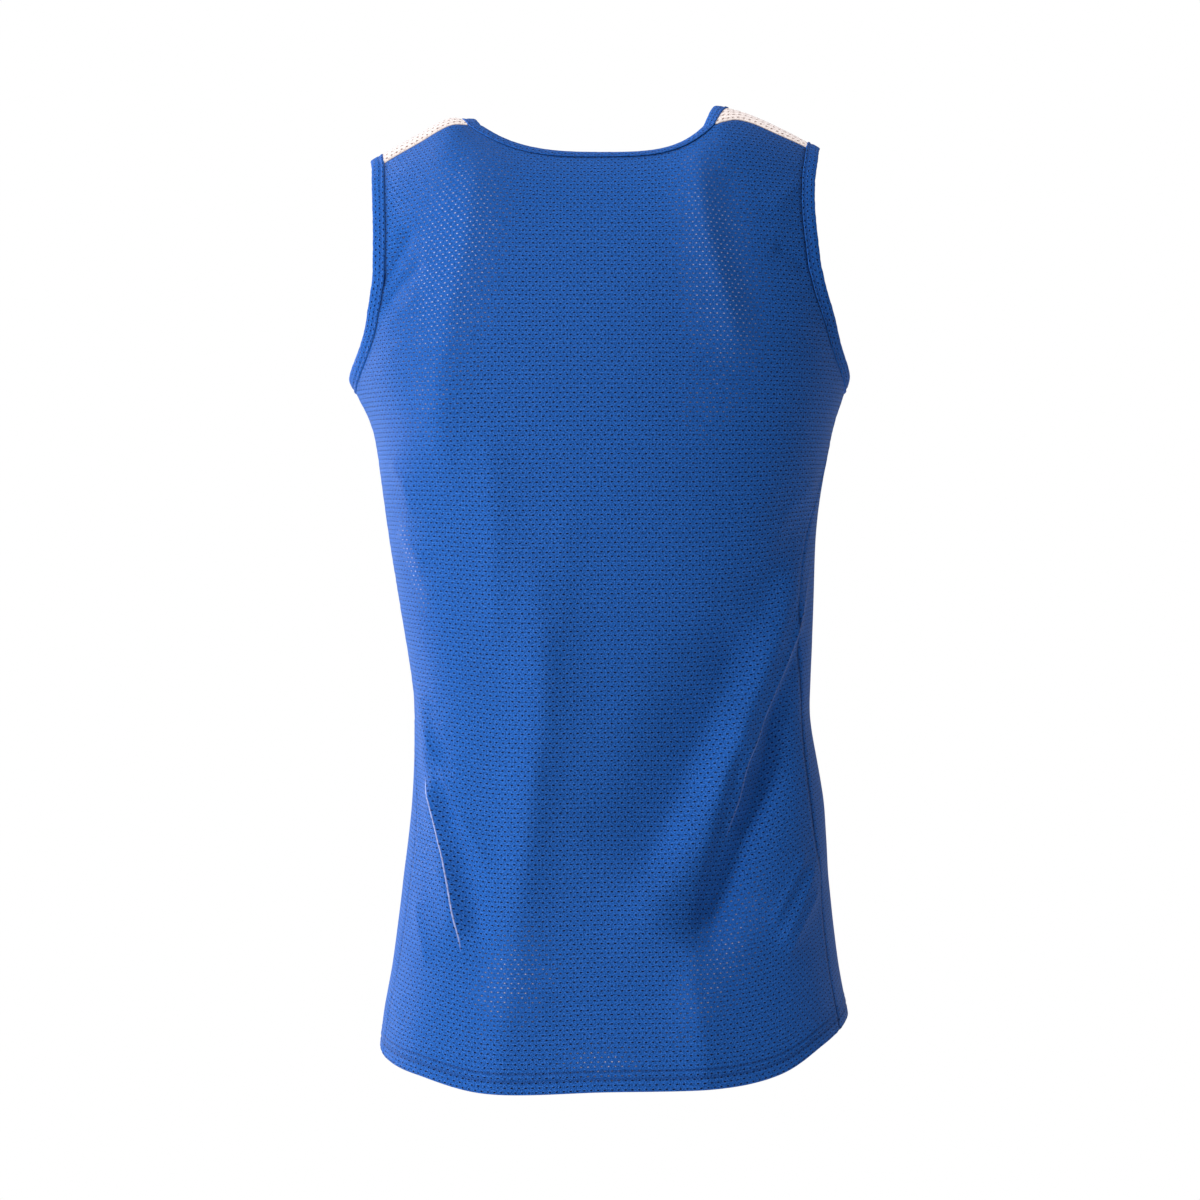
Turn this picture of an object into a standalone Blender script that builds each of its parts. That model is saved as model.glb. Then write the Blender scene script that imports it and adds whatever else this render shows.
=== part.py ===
"""A sleeveless basketball jersey in the hollow form it has when it is worn.

Metres, +Z up. The front of the jersey faces -Y and the wearer's left is +X. The origin lies between the
shoulders, at the height of the shoulder ridges beside the neck, so the jersey hangs below it.

The worn body is a stack of level ovals up to the armpits. Above them each oval falls in over the shoulders
along an arch. The panels, the shoulder insets and the bindings are all walls on that one surface.
"""

import math

import bpy
import numpy as np

# Cloth and sewing.
WALL = 0.0013
HEM_WALL = 0.0021
HEM_DEPTH = 0.020
BINDING_WALL = 0.0021
BINDING_WIDTH = 0.0095
SEAM_GAP = 0.0003
BINDING_GAP = 0.0007

# A binding has its full thickness over this share of its width, and this share of it at its folded edge.
BINDING_FLAT_SHARE = 0.85
BINDING_EDGE_SHARE = 0.45

# Heights of the cut.
ARMPIT_HEIGHT = -0.218
SIDE_HEM_HEIGHT = -0.720
NECK_BACK_HEIGHT = -0.0425
NECK_FRONT_HEIGHT = -0.132

# The ovals are this much fuller than an ellipse at their four diagonals, and this is the arch's power.
FULLNESS = 0.06
ARCH_POWER = 2.5

# Used where a place round the body is turned from an angle into a length of cloth.
MEAN_HALF_WIDTH = 0.17
MEAN_HALF_DEPTH = 0.10

# Level sections of the worn body: half widths from the middle plane, half depths, and how far behind the
# widest line each side seam lies, in degrees round the oval.
BODY_SECTIONS = (
    ("height", "left", "right", "back", "front", "seam_left", "seam_right"),
    (-0.760, 0.168, 0.199, 0.115, 0.116, 15, 22),
    (-0.707, 0.165, 0.197, 0.112, 0.114, 18, 23),
    (-0.661, 0.157, 0.189, 0.107, 0.112, 20, 23),
    (-0.598, 0.149, 0.182, 0.099, 0.109, 22, 23),
    (-0.536, 0.142, 0.178, 0.092, 0.106, 21, 25),
    (-0.473, 0.140, 0.168, 0.088, 0.104, 6, 21),
    (-0.442, 0.142, 0.168, 0.088, 0.104, 1, 23),
    (-0.380, 0.152, 0.170, 0.092, 0.107, 0, 28),
    (-0.317, 0.162, 0.173, 0.099, 0.112, 0, 18),
    (-0.255, 0.170, 0.183, 0.106, 0.116, 0, 3),
    (-0.218, 0.177, 0.189, 0.110, 0.118, 0, 0),
    (-0.180, 0.182, 0.192, 0.112, 0.119, 0, 0),
    (-0.130, 0.186, 0.195, 0.113, 0.119, 0, 0),
    (0.020, 0.188, 0.197, 0.113, 0.119, 0, 0),
)

# Height of the shoulder ridge across the body, dipping over the open neck.
RIDGE_LINE = (
    ("across", "height"),
    (-0.200, -0.0460),
    (-0.165, -0.0240),
    (-0.130, -0.0068),
    (-0.110, 0.0005),
    (-0.094, 0.0022),
    (-0.050, -0.0150),
    (0.000, -0.0215),
    (0.050, -0.0185),
    (0.093, -0.0095),
    (0.112, -0.0055),
    (0.137, -0.0178),
    (0.165, -0.0335),
    (0.200, -0.0560),
)

# Edge of the panels round each armhole, from the armpit to the shoulder seam.
ARMHOLE_EDGE = (
    ("rise", "back_left", "back_right", "front_left", "front_right"),
    (0.00, 0.1770, 0.1890, 0.1770, 0.1890),
    (0.05, 0.1760, 0.1880, 0.1745, 0.1865),
    (0.11, 0.1740, 0.1855, 0.1695, 0.1805),
    (0.19, 0.1705, 0.1815, 0.1635, 0.1725),
    (0.28, 0.1665, 0.1765, 0.1570, 0.1645),
    (0.42, 0.1628, 0.1665, 0.1510, 0.1555),
    (0.60, 0.1605, 0.1608, 0.1480, 0.1500),
    (0.80, 0.1612, 0.1590, 0.1500, 0.1500),
    (1.00, 0.1636, 0.1640, 0.1570, 0.1575),
)

# Where the shoulder insets meet the back and the front, and how far their own edges bulge on the ridge.
INSET_SEAMS = (
    ("across", "back", "front"),
    (-0.170, 0.0330, -0.0360),
    (-0.141, 0.0410, -0.0430),
    (-0.091, 0.0550, -0.0500),
    (0.097, 0.0400, -0.0450),
    (0.120, 0.0440, -0.0450),
    (0.170, 0.0340, -0.0360),
)
NECK_CORNER_LEFT = 0.097
NECK_CORNER_RIGHT = -0.091
NECK_BULGE_LEFT = 0.006
NECK_BULGE_RIGHT = 0.012
ARMHOLE_BULGE = 0.005
NECKLINE_POWER = {"back": (2.9, 4.6), "front": (2.4, 2.4)}

# The stiff binding holds the cloth out at the armpits, and it splays out along the sides of the armholes.
ARMPIT_FLARE = {"left": 0.0110, "right": 0.0065}
FLARE_RISE = 0.012
FLARE_HEIGHT = 0.026
FLARE_REACH = 0.35
BINDING_SPLAY = 0.5

# Height of the hem round the body: 0 is the wearer's left side, 90 the middle of the back.
HEM_LINE = (
    ("degrees", "height"),
    (-50, -0.7420),
    (0, -0.7280),
    (39, -0.7400),
    (62, -0.7515),
    (92, -0.7495),
    (118, -0.7475),
    (132, -0.7390),
    (147, -0.7195),
    (165, -0.7060),
    (180, -0.7030),
    (205, -0.7120),
    (230, -0.7330),
    (270, -0.7460),
    (310, -0.7420),
    (360, -0.7280),
    (399, -0.7400),
)

# The largest folds. Each runs between two places given as degrees round the body and a height. Width is its
# half width, and lift its height: a ridge above zero, a trough below.
FOLDS = (
    ("degrees_0", "height_0", "degrees_1", "height_1", "width", "lift"),
    # Left side of the back: a crease from the side seam, and the trough beside it.
    (20, -0.440, 41, -0.571, 0.011, 0.0030),
    (41, -0.571, 52, -0.640, 0.011, 0.0025),
    (32, -0.490, 46, -0.560, 0.013, -0.0035),
    (46, -0.560, 58, -0.648, 0.014, -0.0045),
    # Middle of the back: a long soft ridge down to the hip.
    (73, -0.335, 70, -0.480, 0.020, 0.0025),
    (70, -0.480, 66, -0.625, 0.020, 0.0030),
    # Right side of the back: the deep diagonal drape from the armpit to the hip.
    (156, -0.285, 122, -0.441, 0.028, -0.0040),
    (122, -0.441, 92, -0.592, 0.030, -0.0040),
    (152, -0.345, 132, -0.464, 0.013, 0.0035),
    (132, -0.464, 118, -0.540, 0.015, 0.0050),
    (118, -0.540, 100, -0.635, 0.018, 0.0040),
    (156, -0.400, 137, -0.495, 0.013, -0.0035),
    (137, -0.495, 125, -0.563, 0.014, -0.0055),
    (125, -0.563, 113, -0.650, 0.015, -0.0045),
    (160, -0.573, 135, -0.646, 0.012, 0.0025),
    # Shoulder blades.
    (58, -0.050, 53, -0.225, 0.022, 0.0030),
    (62, -0.100, 59, -0.205, 0.018, -0.0020),
    (113, -0.085, 122, -0.200, 0.018, 0.0028),
    # Front: drapes from the armpits to the waist and the hip, like those of the back.
    (204, -0.290, 232, -0.440, 0.016, 0.0035),
    (232, -0.440, 254, -0.610, 0.018, 0.0040),
    (218, -0.330, 244, -0.600, 0.018, -0.0040),
    (338, -0.400, 318, -0.540, 0.013, 0.0035),
    (318, -0.540, 300, -0.650, 0.014, 0.0035),
    (330, -0.460, 306, -0.640, 0.015, -0.0040),
    (283, -0.300, 279, -0.600, 0.024, 0.0030),
    (207, -0.235, 232, -0.290, 0.016, -0.0030),
    (335, -0.240, 310, -0.300, 0.016, -0.0030),
    (262, -0.160, 258, -0.300, 0.022, -0.0020),
)

# A fold rises and dies out over this share of its length, down to this share of its lift at its ends, and all
# folds die out over this last share of the way up to the shoulder seams.
FOLD_TAPER = 0.25
FOLD_END_LIFT = 0.25
CALM_TOP = 0.25

# Grid sizes: columns are counted left shoulder, neck, right shoulder. The first row above the turned hem lies
# this many hem depths up, and the rows beside the armholes crowd towards the armpit by this power.
COLUMNS = {"back": (6, 20, 6), "front": (6, 22, 6)}
ROWS_BELOW = 21
ROWS_ABOVE = 14
ROW_OVER_HEM = 1.12
ROW_CROWDING = 1.55
INSET_ROWS = 8
INSET_COLUMNS_ACROSS = 5

# Samples along a row and round a quarter oval, and the steps that slopes are measured over.
ROW_SAMPLES = 241
QUARTER_SAMPLES = 400
ANGLE_STEP = 0.004
INSET_STEP = 0.0005

SHARP_ANGLE = math.radians(50)

BLUE = (0.018, 0.105, 0.420)
WHITE = (0.800, 0.720, 0.690)


def smooth(table, column, at):
    """Values of a named column where the table's first column is `at`, on a smooth curve through its rows."""
    names, *rows = table
    rows = np.array(rows, dtype=float)
    keys = rows[:, 0]
    values = rows[:, names.index(column)]
    at = np.clip(at, keys[0], keys[-1])
    lower = np.clip(np.searchsorted(keys, at, side="right") - 1, 0, len(keys) - 2)
    upper = lower + 1
    before = np.maximum(lower - 1, 0)
    after = np.minimum(upper + 1, len(keys) - 1)
    span = keys[upper] - keys[lower]
    t = (at - keys[lower]) / span
    slope_lower = span * (values[upper] - values[before]) / (keys[upper] - keys[before])
    slope_upper = span * (values[after] - values[lower]) / (keys[after] - keys[lower])
    rise = values[upper] - values[lower]
    bend = (slope_lower - rise) * (1 - t) - (slope_upper - rise) * t
    return values[lower] + t * rise + t * (1 - t) * bend


def ease(t):
    """A soft step from 0 to 1."""
    t = np.clip(t, 0.0, 1.0)
    return t * t * (3 - 2 * t)


def fuller(angle):
    return 1 + FULLNESS * np.sin(2 * angle) ** 2


def oval(angle, height):
    """The point of a level section at an angle round the body."""
    half_width = np.where(
        np.cos(angle) > 0, smooth(BODY_SECTIONS, "left", height), smooth(BODY_SECTIONS, "right", height)
    )
    half_depth = np.where(
        np.sin(angle) > 0, smooth(BODY_SECTIONS, "back", height), smooth(BODY_SECTIONS, "front", height)
    )
    x = half_width * np.cos(angle) * fuller(angle)
    y = half_depth * np.sin(angle) * fuller(angle)
    return x, y


def angle_from_side(share):
    """How far round from the side an oval's x is this share of its half width."""
    angles = np.linspace(math.pi / 2, 0, QUARTER_SAMPLES)
    return np.interp(share, np.cos(angles) * fuller(angles), angles)


def ridge(x):
    return smooth(RIDGE_LINE, "height", x)


def fall(x, z):
    """The share of the chest's depth that is left at a height above the armpits."""
    rise = np.clip((z - ARMPIT_HEIGHT) / (ridge(x) - ARMPIT_HEIGHT), 0.0, 1.0)
    return (1 - rise**ARCH_POWER) ** (1 / ARCH_POWER)


def shoulder_height(x, y):
    """Height of the shoulder surface over a point seen from above."""
    _, left, right, back, front, _, _ = BODY_SECTIONS[-1]
    half_width = np.where(x > 0, left, right)
    half_depth = np.where(y > 0, back, front)
    angle = angle_from_side(np.abs(x) / half_width)
    depth = half_depth * np.sin(angle) * fuller(angle)
    share = np.clip(np.abs(y) / depth, 0.0, 1.0)
    return ARMPIT_HEIGHT + (ridge(x) - ARMPIT_HEIGHT) * (1 - share**ARCH_POWER) ** (1 / ARCH_POWER)


def inset_seam(side, x):
    return smooth(INSET_SEAMS, side, x)


def top_edge(side, x):
    """Height of a panel's upper edge: the shoulder seams with the neckline between them."""
    corner = np.where(x > 0, NECK_CORNER_LEFT, NECK_CORNER_RIGHT)
    corner_height = shoulder_height(corner, inset_seam(side, corner))
    lowest = NECK_BACK_HEIGHT if side == "back" else NECK_FRONT_HEIGHT
    share = np.minimum(np.abs(x / corner), 1.0)
    power = np.where(x > 0, *NECKLINE_POWER[side])
    neckline = lowest + (corner_height - lowest) * share**power
    return np.where(np.abs(x) < np.abs(corner), neckline, shoulder_height(x, inset_seam(side, x)))


def fold_lift(angle, height):
    """How far the folds move the cloth out at a place on the body."""
    lift = np.zeros_like(angle)
    metres_round = np.hypot(MEAN_HALF_WIDTH * np.sin(angle), MEAN_HALF_DEPTH * np.cos(angle))
    for degrees_0, height_0, degrees_1, height_1, width, rise in FOLDS[1:]:
        start = math.radians(degrees_0)
        end = math.radians(degrees_1)
        across = (angle - start) * metres_round
        run = (end - start) * metres_round
        up = height - height_0
        climb = height_1 - height_0
        along = np.clip((across * run + up * climb) / (run**2 + climb**2), 0.0, 1.0)
        distance = np.hypot(across - along * run, up - along * climb)
        taper = ease(along / FOLD_TAPER) * ease((1 - along) / FOLD_TAPER)
        share = FOLD_END_LIFT + (1 - FOLD_END_LIFT) * taper
        lift += rise * np.exp(-((distance / width) ** 2)) * share
    return lift


def armpit_flare(angle, z):
    """How far the cloth is held out sideways beside an armpit."""
    beside = np.exp(-((np.sin(angle) / FLARE_REACH) ** 2))
    level_with = np.exp(-(((z - ARMPIT_HEIGHT - FLARE_RISE) / FLARE_HEIGHT) ** 2))
    reach = np.where(np.cos(angle) > 0, ARMPIT_FLARE["left"], -ARMPIT_FLARE["right"])
    return reach * beside * level_with


def surface(side, angle, level):
    """A point of the cloth's middle. Level is 0 at the hem, 1 at the armpits and 2 at the upper edge."""
    degrees = np.degrees(angle)
    hem = smooth(HEM_LINE, "height", degrees)
    below = np.minimum(level, 1.0)
    above = np.maximum(level - 1.0, 0.0)
    z_below = hem + (ARMPIT_HEIGHT - hem) * below
    x, y = oval(angle, z_below - above * ARMPIT_HEIGHT)
    z_above = ARMPIT_HEIGHT + above * (top_edge(side, x) - ARMPIT_HEIGHT)
    z = np.where(level > 1.0, z_above, z_below)
    y = np.where(level > 1.0, y * fall(x, z), y)
    x = x + armpit_flare(angle, z)
    return np.stack(np.broadcast_arrays(x, y, z), axis=-1)


def unit(vectors):
    return vectors / np.linalg.norm(vectors, axis=-1, keepdims=True)


def panel_cloth(side, angle, level):
    """Points of the folded cloth and the way out of it, for arrays of angles and levels."""
    step = ANGLE_STEP
    points = surface(side, angle, level)
    round_body = surface(side, angle + step, level) - surface(side, angle - step, level)
    up_body = surface(side, angle, level + step) - surface(side, angle, level - step)
    outward = unit(np.cross(round_body, up_body))
    lift = fold_lift(angle, points[..., 2]) * ease((2.0 - level) / CALM_TOP)
    return points + outward * lift[..., None], outward


def seam_angles(side, height):
    """Angles at the left and the right edge of a panel below the armpits."""
    left = np.radians(smooth(BODY_SECTIONS, "seam_left", height))
    right = math.pi - np.radians(smooth(BODY_SECTIONS, "seam_right", height))
    gap = SEAM_GAP / 2 / MEAN_HALF_DEPTH
    if side == "back":
        return left + gap, right - gap
    return 2 * math.pi + left - gap, right + gap


def armhole_angles(side, rise):
    """Angles at the left and the right edge of a panel beside the armholes."""
    height = ARMPIT_HEIGHT * (1 - rise)
    left = smooth(ARMHOLE_EDGE, side + "_left", rise) / smooth(BODY_SECTIONS, "left", height)
    right = smooth(ARMHOLE_EDGE, side + "_right", rise) / smooth(BODY_SECTIONS, "right", height)
    gap = SEAM_GAP / 2 / MEAN_HALF_DEPTH
    left = np.maximum(angle_from_side(left), gap)
    right = np.maximum(angle_from_side(right), gap)
    if side == "back":
        return left, math.pi - right
    return 2 * math.pi - left, math.pi + right


def edge_angles(side, level):
    if level <= 1.0:
        return seam_angles(side, SIDE_HEM_HEIGHT + (ARMPIT_HEIGHT - SIDE_HEM_HEIGHT) * level)
    return armhole_angles(side, level - 1.0)


def row_lengths(side, level):
    """Angles along a row of a panel and the length of cloth up to each."""
    start, end = edge_angles(side, level)
    angles = np.linspace(start, end, ROW_SAMPLES)
    points = surface(side, angles, np.full(ROW_SAMPLES, level))
    steps = np.linalg.norm(np.diff(points, axis=0), axis=1)
    return angles, points, np.concatenate([[0.0], np.cumsum(steps)])


def neck_shares(side):
    """Share of the upper edge's length at the two neck corners."""
    _, points, lengths = row_lengths(side, 2.0)
    order = np.argsort(points[:, 0])
    at_left = np.interp(NECK_CORNER_LEFT, points[order, 0], lengths[order])
    at_right = np.interp(NECK_CORNER_RIGHT, points[order, 0], lengths[order])
    return at_left / lengths[-1], at_right / lengths[-1]


def panel_angles(side, levels, counts):
    """The angle of every grid point: even along each row, with the neck corners on columns at the top."""
    total = sum(counts)
    grid_corners = (0, counts[0], counts[0] + counts[1], total)
    even = (grid_corners[1] / total, grid_corners[2] / total)
    corners = neck_shares(side)
    rows = []
    for level in levels:
        blend = ease(level - 1.0)
        first = even[0] + (corners[0] - even[0]) * blend
        second = even[1] + (corners[1] - even[1]) * blend
        shares = np.interp(np.arange(total + 1), grid_corners, (0, first, second, 1))
        angles, _, lengths = row_lengths(side, level)
        rows.append(np.interp(shares * lengths[-1], lengths, angles))
    return np.array(rows)


def panel_levels():
    """Levels of the rows: both ends of the turned hem, even rows above it, closer ones by the armpit."""
    hem_share = HEM_DEPTH / (ARMPIT_HEIGHT - SIDE_HEM_HEIGHT)
    lower = [0.0, hem_share]
    lower += list(np.linspace(hem_share * ROW_OVER_HEM, 1.0, ROWS_BELOW))
    upper = 1.0 + (np.arange(1, ROWS_ABOVE + 1) / ROWS_ABOVE) ** ROW_CROWDING
    upper[-1] = 2.0 + SEAM_GAP / 2 / ARMPIT_HEIGHT
    return np.array(lower + list(upper))


def panel_grid(side):
    """Middle points, outward directions and wall thickness of a panel."""
    levels = panel_levels()
    angles = panel_angles(side, levels, COLUMNS[side])
    level_grid = np.repeat(levels[:, None], angles.shape[1], axis=1)
    points, outward = panel_cloth(side, angles, level_grid)
    inner = np.full(angles.shape, WALL / 2)
    inner[:2] = HEM_WALL - WALL / 2
    return {"points": points, "outward": outward, "outer": np.full(angles.shape, WALL / 2), "inner": inner}


def inset_surface(x, y):
    return np.stack(np.broadcast_arrays(x, y, shoulder_height(x, y)), axis=-1)


def inset_grid(hand):
    """A shoulder inset: rows run from the back seam over the ridge to the front, columns neck to armhole."""
    left = hand == "left"
    neck = NECK_CORNER_LEFT if left else NECK_CORNER_RIGHT
    neck_bulge = NECK_BULGE_LEFT if left else -NECK_BULGE_RIGHT
    sign = 1 if left else -1
    arm_back = sign * smooth(ARMHOLE_EDGE, "back_" + hand, 1.0)
    arm_front = sign * smooth(ARMHOLE_EDGE, "front_" + hand, 1.0)
    way = np.linspace(0, 1, INSET_ROWS + 1)[:, None]
    out = np.linspace(0, 1, INSET_COLUMNS_ACROSS + 1)[None, :]
    bulge = 4 * way * (1 - way)
    neck_x = neck + neck_bulge * bulge
    arm_x = arm_back + (arm_front - arm_back) * way + sign * ARMHOLE_BULGE * bulge
    x = neck_x + (arm_x - neck_x) * out
    back_y = inset_seam("back", x) - SEAM_GAP / 2
    front_y = inset_seam("front", x) + SEAM_GAP / 2
    y = back_y + (front_y - back_y) * way
    points = inset_surface(x, y)
    step = INSET_STEP
    along_x = inset_surface(x + step, y) - inset_surface(x - step, y)
    along_y = inset_surface(x, y + step) - inset_surface(x, y - step)
    outward = unit(np.cross(along_x, along_y))
    half = np.full(x.shape, WALL / 2)
    return {"points": points, "outward": outward, "outer": half, "inner": half}


def wall_mesh(grid):
    """Vertices and faces of a closed wall on a grid of middle points."""
    points = grid["points"]
    outward = grid["outward"]
    rows, columns = points.shape[:2]
    outer = points + outward * grid["outer"][..., None]
    inner = points - outward * grid["inner"][..., None]
    vertices = np.concatenate([outer.reshape(-1, 3), inner.reshape(-1, 3)])
    count = rows * columns

    def at(row, column, layer):
        return layer * count + row * columns + column

    faces = []
    for row in range(rows - 1):
        for column in range(columns - 1):
            ring = [(row, column), (row, column + 1), (row + 1, column + 1), (row + 1, column)]
            faces.append([at(r, c, 0) for r, c in ring])
            faces.append([at(r, c, 1) for r, c in reversed(ring)])
    border = [(0, c) for c in range(columns)]
    border += [(r, columns - 1) for r in range(1, rows)]
    border += [(rows - 1, c) for c in range(columns - 2, -1, -1)]
    border += [(r, 0) for r in range(rows - 2, 0, -1)]
    for here, there in zip(border, border[1:] + border[:1]):
        faces.append([at(*there, 0), at(*here, 0), at(*here, 1), at(*there, 1)])
    return vertices, faces


def loop_frame(points, outward, splay):
    """Smoothed outward and into-the-opening directions along a closed line of edge points."""
    outward = unit(np.roll(outward, 1, axis=0) + 2 * outward + np.roll(outward, -1, axis=0))
    along = unit(np.roll(points, -1, axis=0) - np.roll(points, 1, axis=0))
    into = unit(np.cross(along, outward))
    towards_middle = points.mean(axis=0) - points
    if np.sum(into * towards_middle) < 0:
        into = -into
    lean = splay * np.abs(outward[:, 1:2])
    return unit(outward - lean * into), unit(into + lean * outward)


def binding_mesh(points, outward, splay):
    """A folded strip that carries on from an edge into the opening, as a closed loop."""
    outward, into = loop_frame(points, outward, splay)
    half = BINDING_WALL / 2
    flat_width = BINDING_WIDTH * BINDING_FLAT_SHARE
    edge_half = half * BINDING_EDGE_SHARE
    profile = (
        (BINDING_GAP, half),
        (flat_width, half),
        (BINDING_WIDTH, edge_half),
        (BINDING_WIDTH, -edge_half),
        (flat_width, -half),
        (BINDING_GAP, -half),
    )
    rings = [points + into * reach + outward * rise for reach, rise in profile]
    vertices = np.stack(rings, axis=1).reshape(-1, 3)
    sides = len(profile)
    count = len(points)
    faces = []
    for here in range(count):
        there = (here + 1) % count
        for side in range(sides):
            beside = (side + 1) % sides
            corners = ((here, side), (here, beside), (there, beside), (there, side))
            faces.append([ring * sides + place for ring, place in corners])
    return vertices, faces


def joined_loop(stretches):
    """One closed line from edge stretches in order. The two ends that meet at a seam become one point."""
    points = []
    outward = []
    for index, (line, ways) in enumerate(stretches):
        before_line, before_ways = stretches[index - 1]
        points.append([(before_line[-1] + line[0]) / 2])
        outward.append([before_ways[-1] + ways[0]])
        points.append(line[1:-1])
        outward.append(ways[1:-1])
    return np.concatenate(points), unit(np.concatenate(outward))


def edge(grid, rows, columns):
    """A stretch of a grid's edge: its points and outward directions."""
    return grid["points"][rows, columns], grid["outward"][rows, columns]


def turned(stretch):
    return stretch[0][::-1], stretch[1][::-1]


def neck_stretches(grids):
    """Edge stretches round the neck, from the left back corner through the back."""
    back_counts = COLUMNS["back"]
    front_counts = COLUMNS["front"]
    back_neck = slice(back_counts[0], back_counts[0] + back_counts[1] + 1)
    front_neck = slice(front_counts[0], front_counts[0] + front_counts[1] + 1)
    return [
        edge(grids["back"], -1, back_neck),
        edge(grids["shoulder_inset_right"], slice(None), 0),
        turned(edge(grids["front"], -1, front_neck)),
        turned(edge(grids["shoulder_inset_left"], slice(None), 0)),
    ]


def armhole_stretches(grids, hand):
    """Edge stretches round an armhole, from the armpit up the back and down the front."""
    column = 0 if hand == "left" else -1
    armpit_row = len(panel_levels()) - ROWS_ABOVE - 1
    beside = slice(armpit_row, None)
    return [
        edge(grids["back"], beside, column),
        edge(grids["shoulder_inset_" + hand], slice(None), -1),
        turned(edge(grids["front"], beside, column)),
    ]


def material(name, colour, roughness):
    made = bpy.data.materials.new(name)
    made.use_nodes = True
    shader = made.node_tree.nodes["Principled BSDF"]
    shader.inputs["Base Color"].default_value = (*colour, 1.0)
    shader.inputs["Roughness"].default_value = roughness
    shader.inputs["Metallic"].default_value = 0.0
    return made


def add_object(name, vertices, faces, finish):
    mesh = bpy.data.meshes.new(name)
    mesh.from_pydata([tuple(v) for v in vertices], [], faces)
    mesh.materials.append(finish)
    mesh.validate()
    mesh.shade_smooth()
    mesh.set_sharp_from_angle(angle=SHARP_ANGLE)
    made = bpy.data.objects.new(name, mesh)
    bpy.context.scene.collection.objects.link(made)
    return made


def facing_out(vertices, faces):
    """The faces, turned over where the body they close would be inside out."""
    volume = 0.0
    for face in faces:
        a = vertices[face[0]]
        for second, third in zip(face[1:-1], face[2:]):
            volume += np.dot(a, np.cross(vertices[second], vertices[third]))
    return faces if volume > 0 else [face[::-1] for face in faces]


def main():
    for existing in list(bpy.data.objects):
        bpy.data.objects.remove(existing)

    blue = material("blue_mesh", BLUE, 0.62)
    white = material("white_mesh", WHITE, 0.70)
    rib = material("blue_binding", BLUE, 0.70)

    grids = {side: panel_grid(side) for side in ("back", "front")}
    for hand in ("left", "right"):
        grids["shoulder_inset_" + hand] = inset_grid(hand)

    for name, grid in grids.items():
        vertices, faces = wall_mesh(grid)
        add_object(name, vertices, facing_out(vertices, faces), white if "inset" in name else blue)

    loops = {"neck_binding": neck_stretches(grids)}
    for hand in ("left", "right"):
        loops["armhole_binding_" + hand] = armhole_stretches(grids, hand)
    for name, stretches in loops.items():
        splay = BINDING_SPLAY if "armhole" in name else 0.0
        vertices, faces = binding_mesh(*joined_loop(stretches), splay)
        add_object(name, vertices, facing_out(vertices, faces), rib)


main()
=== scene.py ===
# %% [markdown]
# # A sleeveless basketball jersey, filled out as when it is worn
#
# The real garment is two panels of eyelet mesh, two white shoulder insets, three folded bindings and a lot
# of sewing. This lesson builds each of them as thin cloth, on solids that already have the right size and
# place. All lengths are metres. Z points up, the front of the jersey faces -Y, and the wearer's left is +X.

# %% Load the solids that give every piece its place
import math

import bpy
import numpy as np
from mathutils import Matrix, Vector


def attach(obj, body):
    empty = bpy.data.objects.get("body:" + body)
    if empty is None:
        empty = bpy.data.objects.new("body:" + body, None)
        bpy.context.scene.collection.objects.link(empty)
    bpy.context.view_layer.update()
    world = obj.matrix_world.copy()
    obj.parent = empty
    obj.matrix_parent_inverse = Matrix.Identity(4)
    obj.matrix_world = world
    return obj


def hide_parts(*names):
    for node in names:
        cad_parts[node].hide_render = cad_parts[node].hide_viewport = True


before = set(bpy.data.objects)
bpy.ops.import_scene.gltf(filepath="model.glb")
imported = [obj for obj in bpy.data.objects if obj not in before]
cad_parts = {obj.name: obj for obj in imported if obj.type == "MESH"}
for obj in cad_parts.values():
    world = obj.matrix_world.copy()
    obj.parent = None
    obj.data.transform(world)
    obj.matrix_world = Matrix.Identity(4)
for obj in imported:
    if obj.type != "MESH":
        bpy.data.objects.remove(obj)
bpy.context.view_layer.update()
print("solids:", sorted(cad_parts))

# %% [markdown]
# ## The camera
#
# The garment is looked at from behind, level with its middle, from three metres away. A long lens keeps the
# far side from shrinking. The lens follows from how wide a strip of the world the square picture shows at
# the origin.

# %% Camera
VIEW_DISTANCE = 3.0
VIEW_CENTRE = (-0.0039, -0.380)
VIEW_WIDTH = 0.936
SENSOR_WIDTH = 36.0

camera_data = bpy.data.cameras.new("camera")
camera_data.sensor_width = SENSOR_WIDTH
camera_data.lens = SENSOR_WIDTH * VIEW_DISTANCE / VIEW_WIDTH
camera = bpy.data.objects.new("camera", camera_data)
camera.location = (VIEW_CENTRE[0], VIEW_DISTANCE, VIEW_CENTRE[1])
camera.rotation_euler = (math.pi / 2, 0.0, math.pi)
bpy.context.scene.collection.objects.link(camera)
bpy.context.scene.camera = camera
print("lens in mm:", round(camera_data.lens, 1))

# %% [markdown]
# ## The body that the cloth is filled out to
#
# A worn jersey is close to a stack of level ovals. Each row of the table is one oval: how far it reaches to
# the left, right, back and front, and how many degrees behind the widest line each side seam lies. A smooth
# curve through the rows gives every height between them. The shoulder ridge, the armholes, the insets'
# seams and the hem are tables too, and use the same curve.

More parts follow.
